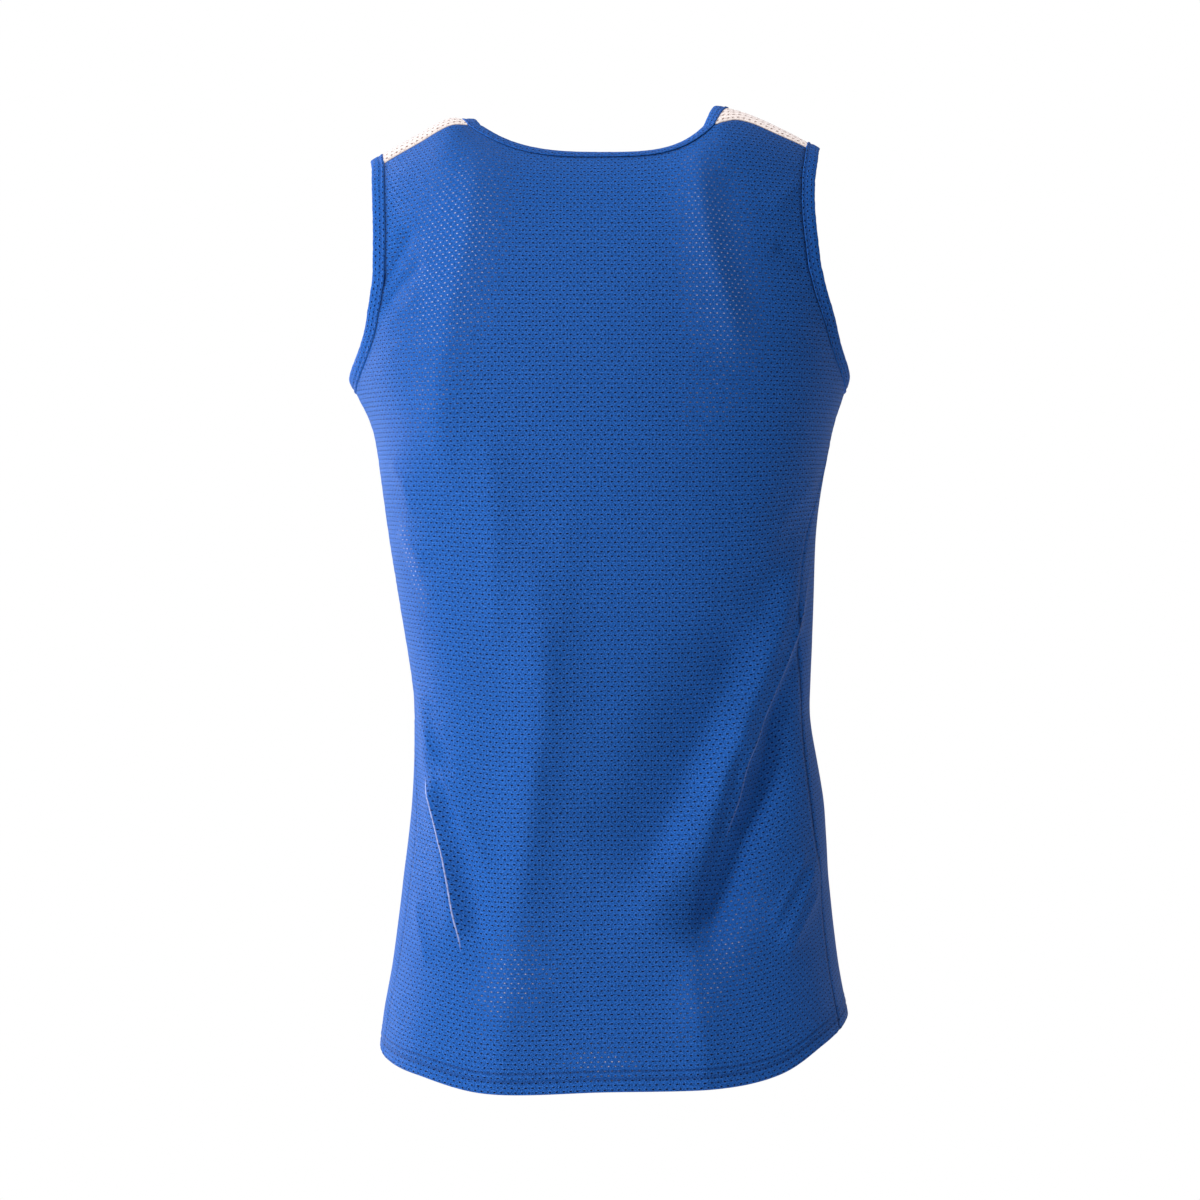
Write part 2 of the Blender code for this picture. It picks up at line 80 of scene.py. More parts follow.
# %% Tables and the curve through them
BODY_SECTIONS = (
    ("height", "left", "right", "back", "front", "seam_left", "seam_right"),
    (-0.760, 0.168, 0.199, 0.115, 0.116, 15, 22),
    (-0.707, 0.165, 0.197, 0.112, 0.114, 18, 23),
    (-0.661, 0.157, 0.189, 0.107, 0.112, 20, 23),
    (-0.598, 0.149, 0.182, 0.099, 0.109, 22, 23),
    (-0.536, 0.142, 0.178, 0.092, 0.106, 21, 25),
    (-0.473, 0.140, 0.168, 0.088, 0.104, 6, 21),
    (-0.442, 0.142, 0.168, 0.088, 0.104, 1, 23),
    (-0.380, 0.152, 0.170, 0.092, 0.107, 0, 28),
    (-0.317, 0.162, 0.173, 0.099, 0.112, 0, 18),
    (-0.255, 0.170, 0.183, 0.106, 0.116, 0, 3),
    (-0.218, 0.177, 0.189, 0.110, 0.118, 0, 0),
    (-0.180, 0.182, 0.192, 0.112, 0.119, 0, 0),
    (-0.130, 0.186, 0.195, 0.113, 0.119, 0, 0),
    (0.020, 0.188, 0.197, 0.113, 0.119, 0, 0),
)


def smooth(table, column, at):
    """Values of a named column where the table's first column is `at`, on a smooth curve through its rows."""
    names, *rows = table
    rows = np.array(rows, dtype=float)
    keys = rows[:, 0]
    values = rows[:, names.index(column)]
    at = np.clip(at, keys[0], keys[-1])
    lower = np.clip(np.searchsorted(keys, at, side="right") - 1, 0, len(keys) - 2)
    upper = lower + 1
    before = np.maximum(lower - 1, 0)
    after = np.minimum(upper + 1, len(keys) - 1)
    span = keys[upper] - keys[lower]
    t = (at - keys[lower]) / span
    slope_lower = span * (values[upper] - values[before]) / (keys[upper] - keys[before])
    slope_upper = span * (values[after] - values[lower]) / (keys[after] - keys[lower])
    rise = values[upper] - values[lower]
    bend = (slope_lower - rise) * (1 - t) - (slope_upper - rise) * t
    return values[lower] + t * rise + t * (1 - t) * bend


def ease(t):
    """A soft step from 0 to 1."""
    t = np.clip(t, 0.0, 1.0)
    return t * t * (3 - 2 * t)


def unit(vectors):
    """The same directions, each one metre long."""
    return vectors / np.linalg.norm(vectors, axis=-1, keepdims=True)


def grid_of(*parts):
    """One grid of points or places from its separate parts."""
    return np.stack(np.broadcast_arrays(*parts), axis=-1)


# %% Ovals, a little fuller at their diagonals than an ellipse
FULLNESS = 0.06
QUARTER_SAMPLES = 400


def fuller(angle):
    """How much further out than an ellipse the oval reaches at an angle."""
    return 1 + FULLNESS * np.sin(2 * angle) ** 2


def oval(angle, height):
    """The point of a level section at an angle round the body: 0 is the left, a quarter turn the back."""
    half_width = np.where(
        np.cos(angle) > 0, smooth(BODY_SECTIONS, "left", height), smooth(BODY_SECTIONS, "right", height)
    )
    half_depth = np.where(
        np.sin(angle) > 0, smooth(BODY_SECTIONS, "back", height), smooth(BODY_SECTIONS, "front", height)
    )
    x = half_width * np.cos(angle) * fuller(angle)
    y = half_depth * np.sin(angle) * fuller(angle)
    return x, y


def angle_from_side(share):
    """How far round from the side an oval's x is this share of its half width."""
    angles = np.linspace(math.pi / 2, 0, QUARTER_SAMPLES)
    return np.interp(share, np.cos(angles) * fuller(angles), angles)


WAIST_HEIGHT = -0.473
waist_x, waist_y = oval(np.radians([0, 90, 180, 270]), WAIST_HEIGHT)
print("waist in mm:", round(1000 * (waist_x.max() - waist_x.min())), "wide,",
      round(1000 * (waist_y.max() - waist_y.min())), "deep")

# %% [markdown]
# ## Over the shoulders
#
# Above the armpits the back and the front lean together and meet on the shoulder ridge. An arch does this:
# it stays upright near the armpits and turns over quickly near the ridge, as cloth does over a collar bone.

# %% Shoulder ridge and arch
ARMPIT_HEIGHT = -0.218
ARCH_POWER = 2.5
RIDGE_LINE = (
    ("across", "height"),
    (-0.200, -0.0460),
    (-0.165, -0.0240),
    (-0.130, -0.0068),
    (-0.110, 0.0005),
    (-0.094, 0.0022),
    (-0.050, -0.0150),
    (0.000, -0.0215),
    (0.050, -0.0185),
    (0.093, -0.0095),
    (0.112, -0.0055),
    (0.137, -0.0178),
    (0.165, -0.0335),
    (0.200, -0.0560),
)


def ridge(x):
    return smooth(RIDGE_LINE, "height", x)


def arch(share):
    """How much of an arch's height is left at a share of its half width."""
    return (1 - share**ARCH_POWER) ** (1 / ARCH_POWER)


def fall(x, z):
    """The share of the chest's depth that is left at a height above the armpits."""
    rise = np.clip((z - ARMPIT_HEIGHT) / (ridge(x) - ARMPIT_HEIGHT), 0.0, 1.0)
    return arch(rise)


def shoulder_height(x, y):
    """Height of the shoulder over a point seen from above."""
    _, left, right, back, front, _, _ = BODY_SECTIONS[-1]
    half_width = np.where(x > 0, left, right)
    half_depth = np.where(y > 0, back, front)
    angle = angle_from_side(np.abs(x) / half_width)
    depth = half_depth * np.sin(angle) * fuller(angle)
    share = np.clip(np.abs(y) / depth, 0.0, 1.0)
    return ARMPIT_HEIGHT + (ridge(x) - ARMPIT_HEIGHT) * arch(share)


print("shoulder ridge in mm:", [round(1000 * float(ridge(x))) for x in (-0.13, 0.0, 0.13)])

# %% [markdown]
# ## Where the pieces are cut
#
# A pattern cutter draws the armholes, the neckline, the shoulder seams and the hem as curves. Here they are
# curves too: a table for each armhole's edge, one for the inset's two seams, and one for the height of the
# hem all the way round. The neckline is a power curve, flat in the middle and steep at the shoulder.

# %% Armholes, shoulder seams, neckline and hem
SIDE_HEM_HEIGHT = -0.720
NECK_LOWEST = {"back": -0.0413, "front": -0.132}
NECK_CORNER_LEFT = 0.097
NECK_CORNER_RIGHT = -0.091
NECKLINE_POWER = {"back": (2.9, 3.9), "front": (2.4, 2.4)}
ARMHOLE_EDGE = (
    ("rise", "back_left", "back_right", "front_left", "front_right"),
    (0.00, 0.1770, 0.1890, 0.1770, 0.1890),
    (0.05, 0.1760, 0.1880, 0.1745, 0.1865),
    (0.11, 0.1740, 0.1855, 0.1695, 0.1805),
    (0.19, 0.1705, 0.1815, 0.1635, 0.1725),
    (0.28, 0.1665, 0.1770, 0.1570, 0.1645),
    (0.42, 0.1628, 0.1677, 0.1510, 0.1555),
    (0.60, 0.1605, 0.1616, 0.1480, 0.1500),
    (0.80, 0.1612, 0.1590, 0.1500, 0.1500),
    (1.00, 0.1636, 0.1640, 0.1570, 0.1575),
)
INSET_SEAMS = (
    ("across", "back", "front"),
    (-0.170, 0.0260, -0.0360),
    (-0.163, 0.0285, -0.0380),
    (-0.142, 0.0362, -0.0428),
    (-0.120, 0.0405, -0.0460),
    (-0.109, 0.0440, -0.0475),
    (-0.100, 0.0500, -0.0488),
    (-0.090, 0.0535, -0.0500),
    (0.097, 0.0345, -0.0450),
    (0.103, 0.0370, -0.0452),
    (0.110, 0.0395, -0.0452),
    (0.120, 0.0408, -0.0450),
    (0.134, 0.0393, -0.0430),
    (0.150, 0.0353, -0.0400),
    (0.164, 0.0300, -0.0368),
    (0.170, 0.0280, -0.0360),
)
HEM_LINE = (
    ("degrees", "height"),
    (-50, -0.7420),
    (0, -0.7280),
    (39, -0.7400),
    (62, -0.7515),
    (92, -0.7495),
    (118, -0.7475),
    (132, -0.7390),
    (147, -0.7195),
    (165, -0.7060),
    (180, -0.7030),
    (205, -0.7120),
    (230, -0.7330),
    (270, -0.7460),
    (310, -0.7420),
    (360, -0.7280),
    (399, -0.7400),
)


def inset_seam(side, x):
    return smooth(INSET_SEAMS, side, x)


def top_edge(side, x):
    """Height of a panel's upper edge: the shoulder seams with the neckline between them."""
    corner = np.where(x > 0, NECK_CORNER_LEFT, NECK_CORNER_RIGHT)
    corner_height = shoulder_height(corner, inset_seam(side, corner))
    share = np.minimum(np.abs(x / corner), 1.0)
    power = np.where(x > 0, *NECKLINE_POWER[side])
    neckline = NECK_LOWEST[side] + (corner_height - NECK_LOWEST[side]) * share**power
    return np.where(np.abs(x) < np.abs(corner), neckline, shoulder_height(x, inset_seam(side, x)))


print("neck drop in mm, back and front:", [round(-1000 * NECK_LOWEST[side]) for side in ("back", "front")])

# %% [markdown]
# ## The cloth as a surface
#
# Each panel is a grid on the body. A level says how far up a point lies: 0 at the hem, 1 at the armpits, 2
# at the upper edge. The stiff binding holds the cloth out sideways at the armpits, so a small flare is
# added there.

# %% Surface of the body under a panel
ARMPIT_FLARE = {"left": 0.0110, "right": 0.0065}
FLARE_RISE = 0.012
FLARE_HEIGHT = 0.026
FLARE_REACH = 0.35


def armpit_flare(angle, z):
    """How far the cloth is held out sideways beside an armpit."""
    beside = np.exp(-((np.sin(angle) / FLARE_REACH) ** 2))
    level_with = np.exp(-(((z - ARMPIT_HEIGHT - FLARE_RISE) / FLARE_HEIGHT) ** 2))
    reach = np.where(np.cos(angle) > 0, ARMPIT_FLARE["left"], -ARMPIT_FLARE["right"])
    return reach * beside * level_with


def surface(side, angle, level):
    """A point of the smooth cloth, before its folds."""
    hem = smooth(HEM_LINE, "height", np.degrees(angle))
    below = np.minimum(level, 1.0)
    above = np.maximum(level - 1.0, 0.0)
    z_below = hem + (ARMPIT_HEIGHT - hem) * below
    x, y = oval(angle, z_below - above * ARMPIT_HEIGHT)
    z_above = ARMPIT_HEIGHT + above * (top_edge(side, x) - ARMPIT_HEIGHT)
    z = np.where(level > 1.0, z_above, z_below)
    y = np.where(level > 1.0, y * fall(x, z), y)
    x = x + armpit_flare(angle, z)
    return grid_of(x, y, z)


# %% [markdown]
# ## Folds
#
# Light cloth on a body makes long soft ridges and troughs that start at a place where it is pulled: an
# armpit, a side seam, a shoulder blade. A cloth simulation would place them anywhere, so they are placed one
# by one. Each row says where a fold starts and ends, as degrees round the body and a height, how wide it is
# and how high. These are the broad ones. The solids have them too.

# %% Table of folds
FOLDS = (
    ("degrees_0", "height_0", "degrees_1", "height_1", "width", "lift"),
    # Left side of the back: a crease from the side seam, and the trough beside it.
    (20, -0.440, 41, -0.571, 0.011, 0.0030),
    (41, -0.571, 52, -0.640, 0.011, 0.0025),
    (32, -0.490, 46, -0.560, 0.013, -0.0035),
    (46, -0.560, 58, -0.648, 0.014, -0.0045),
    # Middle of the back: a long soft ridge down to the hip.
    (73, -0.335, 70, -0.480, 0.020, 0.0025),
    (70, -0.480, 66, -0.625, 0.020, 0.0030),
    # Right side of the back: the deep diagonal drape from the armpit to the hip.
    (156, -0.285, 122, -0.441, 0.028, -0.0040),
    (122, -0.441, 92, -0.592, 0.030, -0.0040),
    (152, -0.345, 132, -0.464, 0.013, 0.0035),
    (132, -0.464, 118, -0.540, 0.015, 0.0050),
    (118, -0.540, 100, -0.635, 0.018, 0.0040),
    (156, -0.400, 137, -0.495, 0.013, -0.0035),
    (137, -0.495, 125, -0.563, 0.014, -0.0055),
    (125, -0.563, 113, -0.650, 0.015, -0.0045),
    (160, -0.573, 135, -0.646, 0.012, 0.0025),
    # Front: drapes from the armpits to the waist and the hip, like those of the back.
    (204, -0.290, 232, -0.440, 0.016, 0.0035),
    (232, -0.440, 254, -0.610, 0.018, 0.0040),
    (218, -0.330, 244, -0.600, 0.018, -0.0040),
    (338, -0.400, 318, -0.540, 0.013, 0.0035),
    (318, -0.540, 300, -0.650, 0.014, 0.0035),
    (330, -0.460, 306, -0.640, 0.015, -0.0040),
    (283, -0.300, 279, -0.600, 0.024, 0.0030),
    (207, -0.235, 232, -0.290, 0.016, -0.0030),
    (335, -0.240, 310, -0.300, 0.016, -0.0030),
    (262, -0.160, 258, -0.300, 0.022, -0.0020),
)
MEAN_HALF_WIDTH = 0.17
MEAN_HALF_DEPTH = 0.10
FOLD_TAPER = 0.25
FOLD_END_LIFT = 0.25
CALM_TOP = 0.09


def metres_a_radian(angle):
    """How much cloth an angle takes up round the body."""
    return np.hypot(MEAN_HALF_WIDTH * np.sin(angle), MEAN_HALF_DEPTH * np.cos(angle))


def beside_line(angle, height, metres, start, end):
    """Metres from a place to a straight stretch of fold, the share along it, and the side that it is on."""
    across = (angle - math.radians(start[0])) * metres
    run = math.radians(end[0] - start[0]) * metres
    up = height - start[1]
    climb = end[1] - start[1]
    along = np.clip((across * run + up * climb) / (run**2 + climb**2), 0.0, 1.0)
    distance = np.hypot(across - along * run, up - along * climb)
    return distance, along, np.sign(across * climb - up * run)


def tapered(share, taper):
    """Full along the middle of a fold, fading at both ends."""
    return ease(share / taper) * ease((1 - share) / taper)


def fold_lift(angle, height):
    """How far the folds move the cloth out at a place on the body."""
    lift = np.zeros_like(angle)
    metres = metres_a_radian(angle)
    for degrees_0, height_0, degrees_1, height_1, width, rise in FOLDS[1:]:
        distance, along, _ = beside_line(angle, height, metres, (degrees_0, height_0), (degrees_1, height_1))
        share = FOLD_END_LIFT + (1 - FOLD_END_LIFT) * tapered(along, FOLD_TAPER)
        lift += rise * np.exp(-((distance / width) ** 2)) * share
    return lift


print(len(FOLDS) - 1, "broad folds")

# %% [markdown]
# ## Creases
#
# A crease has a narrow crest and long flanks, as a tent has: the cloth is flat on both sides of it and
# turns within a few millimetres. Light changes at its crest, which the eye sees first. Each crease follows
# a line of points, as degrees round the body and heights. Its reach says how far the flanks go, and its tip
# how round the crest is. A crease with a negative lift is a valley.

# %% Table of creases
# Each name has its reach, its tip, its lift, and its line of degrees and heights.
CREASES = {
    "left blade": (0.028, 0.0036, 0.0076, (
        (61.0, -0.018), (61.7, -0.045), (61.7, -0.076), (61.0, -0.107), (58.4, -0.137), (56.3, -0.164),
        (54.1, -0.194), (51.9, -0.226), (50.6, -0.252), (50.3, -0.280), (50.8, -0.310))),
    "right blade": (0.015, 0.0030, 0.0048, (
        (114.0, -0.020), (112.9, -0.051), (113.6, -0.081), (115.4, -0.111), (117.6, -0.135), (119.8, -0.160),
        (121.9, -0.181), (123.7, -0.210))),
    "beside the right blade": (0.018, 0.0050, -0.0040, (
        (118.3, -0.030), (119.0, -0.077), (121.2, -0.115), (124.4, -0.148), (128.4, -0.190))),
    "middle": (0.024, 0.0080, 0.0064, (
        (72.5, -0.333), (75.4, -0.380), (75.8, -0.422), (74.7, -0.463), (72.5, -0.506), (71.1, -0.547),
        (70.0, -0.587), (68.9, -0.628), (67.1, -0.662), (66.0, -0.712), (65.0, -0.780), (64.0, -0.860))),
    "left of the middle": (0.015, 0.0060, 0.0034, (
        (61.7, -0.241), (63.1, -0.283), (63.1, -0.326), (61.7, -0.382), (61.0, -0.432))),
    "waist": (0.014, 0.0060, 0.0014, ((83.3, -0.300), (80.8, -0.367), (80.8, -0.420))),
    "left upper": (0.008, 0.0012, 0.0030, (
        (26.0, -0.470), (30.7, -0.491), (39.7, -0.516), (47.6, -0.544), (55.2, -0.568), (62.0, -0.600))),
    "left valley": (0.008, 0.0020, -0.0012, (
        (35.4, -0.515), (44.0, -0.547), (51.2, -0.579), (55.9, -0.613), (59.2, -0.646))),
    "left lower": (0.011, 0.0003, 0.0052, (
        (28.5, -0.515), (34.6, -0.532), (38.0, -0.550), (44.2, -0.582), (48.4, -0.614), (52.2, -0.648))),
    "left lowest": (0.006, 0.0010, 0.0016, (
        (29.5, -0.600), (32.5, -0.625), (36.8, -0.643), (40.0, -0.661))),
    "right crest": (0.0045, 0.0006, 0.0036, (
        (165.0, -0.349), (156.2, -0.379), (151.9, -0.406), (147.9, -0.426), (143.2, -0.444), (138.9, -0.466),
        (134.5, -0.485), (129.5, -0.506), (126.6, -0.535), (121.6, -0.566))),
    "right valley": (0.012, 0.0034, -0.0132, (
        (148.2, -0.435), (140.7, -0.497), (132.0, -0.542), (125.5, -0.577), (120.1, -0.612),
        (115.9, -0.650))),
    "right drape": (0.016, 0.0020, 0.0042, (
        (142.0, -0.400), (134.9, -0.446), (128.6, -0.484), (123.4, -0.510), (119.8, -0.537), (116.9, -0.567),
        (114.3, -0.597), (111.0, -0.632))),
    "right thin valley": (0.005, 0.0012, -0.0034, (
        (131.0, -0.484), (126.0, -0.510), (122.6, -0.539), (120.4, -0.567), (117.2, -0.596), (115.3, -0.620),
        (113.5, -0.648))),
    "under the drape": (0.028, 0.0070, -0.0100, (
        (131.5, -0.395), (128.0, -0.419), (124.0, -0.452), (119.7, -0.478), (115.2, -0.502), (109.4, -0.538),
        (104.5, -0.570), (97.5, -0.615))),
    "right waist": (0.012, 0.0040, 0.0016, (
        (164.5, -0.278), (146.5, -0.308), (138.2, -0.339), (132.7, -0.367))),
    "right low 1": (0.004, 0.0006, 0.0026, ((154.0, -0.580), (145.0, -0.607), (133.5, -0.650))),
    "right low 2": (0.004, 0.0006, 0.0024, ((155.6, -0.597), (142.8, -0.627), (136.5, -0.655))),
    "right low 3": (0.004, 0.0006, 0.0024, ((150.6, -0.568), (139.6, -0.602), (132.5, -0.630))),
    "right hip": (0.015, 0.0040, 0.0036, (
        (111.8, -0.625), (112.2, -0.665), (113.0, -0.700), (113.6, -0.745), (114.0, -0.790))),
    "hip 1": (0.006, 0.0020, -0.0015, ((74.0, -0.681), (91.6, -0.686), (113.0, -0.678))),
    "hip 2": (0.005, 0.0020, -0.0013, ((76.0, -0.697), (94.1, -0.700), (113.0, -0.692))),
    "left armhole 1": (0.005, 0.0008, -0.0040, ((34.0, -0.146), (41.1, -0.117), (46.5, -0.096))),
    "left armhole 2": (0.005, 0.0008, -0.0032, ((32.5, -0.162), (43.3, -0.136), (49.8, -0.122))),
    "left armhole 3": (0.006, 0.0015, 0.0008, ((32.5, -0.176), (42.9, -0.159), (48.0, -0.152))),
    "right armhole 1": (0.005, 0.0010, -0.0024, ((143.5, -0.134), (136.0, -0.117), (130.5, -0.110))),
    "right armhole 2": (0.006, 0.0012, 0.0016, ((140.5, -0.056), (133.8, -0.071), (129.6, -0.086))),
    "left side 1": (0.008, 0.0020, 0.0016, ((26.5, -0.270), (30.7, -0.282), (33.9, -0.296), (34.3, -0.318))),
    "left side 2": (0.007, 0.0015, 0.0014, ((23.8, -0.325), (32.1, -0.340), (40.0, -0.354))),
    # The front hangs in drapes of the same kind.
    "front left blade": (0.028, 0.0050, 0.0074, ((304.0, -0.120), (306.0, -0.180), (310.0, -0.240))),
    "front right blade": (0.024, 0.0040, 0.0066, ((238.0, -0.120), (236.0, -0.180), (232.0, -0.240))),
    "front middle": (0.026, 0.0060, 0.0080, (
        (281.0, -0.340), (284.0, -0.420), (285.0, -0.510), (288.0, -0.600), (290.0, -0.690))),
    "front right crest": (0.007, 0.0010, 0.0020, (
        (214.0, -0.380), (226.0, -0.450), (236.0, -0.530), (241.0, -0.570))),
    "front right valley": (0.013, 0.0030, -0.0078, (
        (216.0, -0.430), (226.0, -0.505), (236.0, -0.560), (244.0, -0.630))),
    "front right drape": (0.016, 0.0035, 0.0070, (
        (222.0, -0.410), (236.0, -0.480), (245.0, -0.550), (256.0, -0.635))),
    "front left upper": (0.010, 0.0015, 0.0044, (
        (332.0, -0.470), (320.0, -0.520), (308.0, -0.570), (300.0, -0.620))),
    "front left lower": (0.009, 0.0004, 0.0040, ((330.0, -0.550), (320.0, -0.590), (313.0, -0.640))),
    "front left valley": (0.010, 0.0030, -0.0052, ((326.0, -0.500), (315.0, -0.560), (306.0, -0.640))),
    "front left armhole": (0.006, 0.0012, -0.0012, ((322.0, -0.150), (316.0, -0.130), (310.0, -0.118))),
    "front right armhole": (0.006, 0.0012, -0.0012, ((222.0, -0.146), (228.0, -0.128), (233.0, -0.120))),
    "front hip": (0.006, 0.0020, -0.0008, ((248.0, -0.688), (268.0, -0.692), (292.0, -0.684))),
}
CREASE_TAPER = 0.22
CORNER_CUTS = 2


def rounded(line):
    """Degrees, height and share along a line, with its corners cut off so that it bends softly."""
    places = np.column_stack([np.array(line), np.linspace(0, 1, len(line))])
    for _ in range(CORNER_CUTS):
        cut = np.empty((2 * len(places) - 2, 3))
        cut[0::2] = 0.75 * places[:-1] + 0.25 * places[1:]
        cut[1::2] = 0.25 * places[:-1] + 0.75 * places[1:]
        cut[0] = places[0]
        cut[-1] = places[-1]
        places = cut
    return places


def beside_crease(angle, height, line):
    """How many metres a place lies from a crease, on which side of it (-1 or 1), and the share along it."""
    line = rounded(line)
    metres = metres_a_radian(angle)
    nearest = np.full_like(angle, np.inf)
    side = np.ones_like(angle)
    share = np.zeros_like(angle)
    for start, end in zip(line[:-1], line[1:]):
        distance, along, this_side = beside_line(angle, height, metres, start, end)
        closer = distance < nearest
        nearest = np.where(closer, distance, nearest)
        side = np.where(closer, this_side, side)
        share = np.where(closer, start[2] + along * (end[2] - start[2]), share)
    return nearest, side, share


def crease_lift(angle, height):
    """How far the creases move the cloth out at a place on the body."""
    lift = np.zeros_like(angle)
    for reach, tip, rise, line in CREASES.values():
        nearest, _, share = beside_crease(angle, height, line)
        lift += rise * tapered(share, CREASE_TAPER) * np.exp(-(np.hypot(nearest, tip) - tip) / reach)
    return lift


print(len(CREASES), "creases")

# %% [markdown]
# Two of the creases have an edge as sharp as a pressed trouser crease, about a millimetre wide. The points
# of the grid lie too far apart for that. So each point only notes how far it is from the edge. The material
# raises the edge, as it does with the knit, and paints a pale highlight along it, as light gives an edge
# that thin.

# %% Sharp edges on some creases
SHARP_CREASES = {"left lower": 1.0, "right crest": 0.25}
SHARP_TAPER = 0.10
SHARP_FAR = 0.02


def sharp_edges(angle, height):
    """Metres from the nearest sharp edge, negative on one side of it, and how sharp it is there."""
    beside = np.full_like(angle, SHARP_FAR)
    sharp = np.zeros_like(angle)
    for name, sharpness in SHARP_CREASES.items():
        nearest, side, share = beside_crease(angle, height, CREASES[name][3])
        closer = nearest < np.abs(beside)
        beside = np.where(closer, nearest * side, beside)
        sharp = np.where(closer, sharpness * tapered(share, SHARP_TAPER), sharp)
    return beside, sharp


print("sharp edges:", ", ".join(SHARP_CREASES))

# %% [markdown]
# ## Cloth is never quite even
#
# Between the creases the real cloth still wanders in and out by a few tenths of a millimetre. Random
# heights on a coarse grid, joined by soft curves, give that. The random numbers start from a fixed seed, so
# every run gives the same cloth.

# %% Soft unevenness
UNEVEN_CELL = 0.019
UNEVEN_CELLS = 96
UNEVEN_CELLS_BELOW = 2
UNEVEN_LIFT = 0.00011
UNEVEN_SEED = 11


def uneven(metres, seed):
    """Smooth random heights between -1 and 1 on a map of the cloth in metres."""
    heights = np.random.default_rng(seed).uniform(-1, 1, (UNEVEN_CELLS + 1, UNEVEN_CELLS + 1))
    last = UNEVEN_CELLS - 0.001
    column = np.clip(metres[..., 0] / UNEVEN_CELL + UNEVEN_CELLS / 2, 0, last)
    row = np.clip(metres[..., 1] / UNEVEN_CELL + UNEVEN_CELLS_BELOW, 0, last)
    c = column.astype(int)
    r = row.astype(int)
    right = ease(column - c)
    above = ease(row - r)
    lower = heights[r, c] * (1 - right) + heights[r, c + 1] * right
    upper = heights[r + 1, c] * (1 - right) + heights[r + 1, c + 1] * right
    return lower * (1 - above) + upper * above


print("unevenness in mm:", 1000 * UNEVEN_LIFT)

# %% [markdown]
# ## Rows and columns
#
# A grid for cloth wants two things: points close enough together for the finest crease, about 3 mm, and
# rows exactly where something is sewn. So the hem gets its own rows, the edges get two extra columns, and
# the neck corners keep the same column all the way up. Every place along a row is then found by its length
# of cloth.

# %% Levels of the rows and angles of the columns
SEAM_GAP = 0.0001
# At the sides the panels meet edge to edge, a hair over each other, so that no light shows between them.
SIDE_GAP = -0.00006
HEM_DEPTH = 0.0170
HEM_STITCHING = (0.0094, 0.0148)
HEM_ROWS = (0.0, 0.0004, 0.0010, 0.0020, 0.0036, 0.0056, 0.0074, 0.0086, 0.0094, 0.0102, 0.0112, 0.0121,
            0.0130, 0.0140, 0.0148, 0.0156, 0.0164, 0.0170, 0.0173, 0.0182, 0.0200, 0.0225)
ROWS_BELOW = 165
ROWS_ABOVE = 74
ROW_CROWDING = 1.35
EDGE_ROWS = (0.0020, 0.0010)
EDGE_COLUMNS = (0.0007, 0.0015)
COLUMNS = {"back": (28, 98, 28), "front": (28, 106, 28)}
SIDE_SHARE = 0.76
ROW_SAMPLES = 401
LOWER_HEIGHT = ARMPIT_HEIGHT - SIDE_HEM_HEIGHT
UPPER_HEIGHT = 0.185
CLEAR_OF_EDGE_ROWS = 0.005
TINY = 1e-6


def panel_levels():
    """Levels of all rows: the hem's own, even ones up to the armpits, and closer ones beside the armholes."""
    hem = np.array(HEM_ROWS) / LOWER_HEIGHT
    body = np.linspace(hem[-1], 1.0, ROWS_BELOW + 1)[1:]
    above = 1.0 + (np.arange(1, ROWS_ABOVE + 1) / ROWS_ABOVE) ** ROW_CROWDING
    edge_rows = 2.0 - np.array(EDGE_ROWS) / UPPER_HEIGHT
    above = above[above < edge_rows[0] - CLEAR_OF_EDGE_ROWS]
    return np.concatenate([hem, body, above, edge_rows, [2.0 - SEAM_GAP / UPPER_HEIGHT]])


def edge_angles(side, level):
    """Angles at the left and the right edge of a panel: its side seams, or its armholes above them."""
    gap = SIDE_GAP / MEAN_HALF_DEPTH
    if level <= 1.0:
        height = SIDE_HEM_HEIGHT + LOWER_HEIGHT * level
        left = np.radians(smooth(BODY_SECTIONS, "seam_left", height))
        right = math.pi - np.radians(smooth(BODY_SECTIONS, "seam_right", height))
        return (left + gap, right - gap) if side == "back" else (2 * math.pi + left - gap, right + gap)
    rise = level - 1.0
    height = ARMPIT_HEIGHT * (1 - rise)
    left = smooth(ARMHOLE_EDGE, side + "_left", rise) / smooth(BODY_SECTIONS, "left", height)
    right = smooth(ARMHOLE_EDGE, side + "_right", rise) / smooth(BODY_SECTIONS, "right", height)
    left = np.maximum(angle_from_side(left), gap)
    right = np.maximum(angle_from_side(right), gap)
    return (left, math.pi - right) if side == "back" else (2 * math.pi - left, math.pi + right)


def row_of_cloth(side, level):
    """Fine samples along one row: their angles, points, and the length of cloth up to each."""
    start, end = edge_angles(side, level)
    angles = np.linspace(start, end, ROW_SAMPLES)
    points = surface(side, angles, np.full(ROW_SAMPLES, level))
    steps = np.linalg.norm(np.diff(points, axis=0), axis=1)
    return angles, points, np.concatenate([[0.0], np.cumsum(steps)])


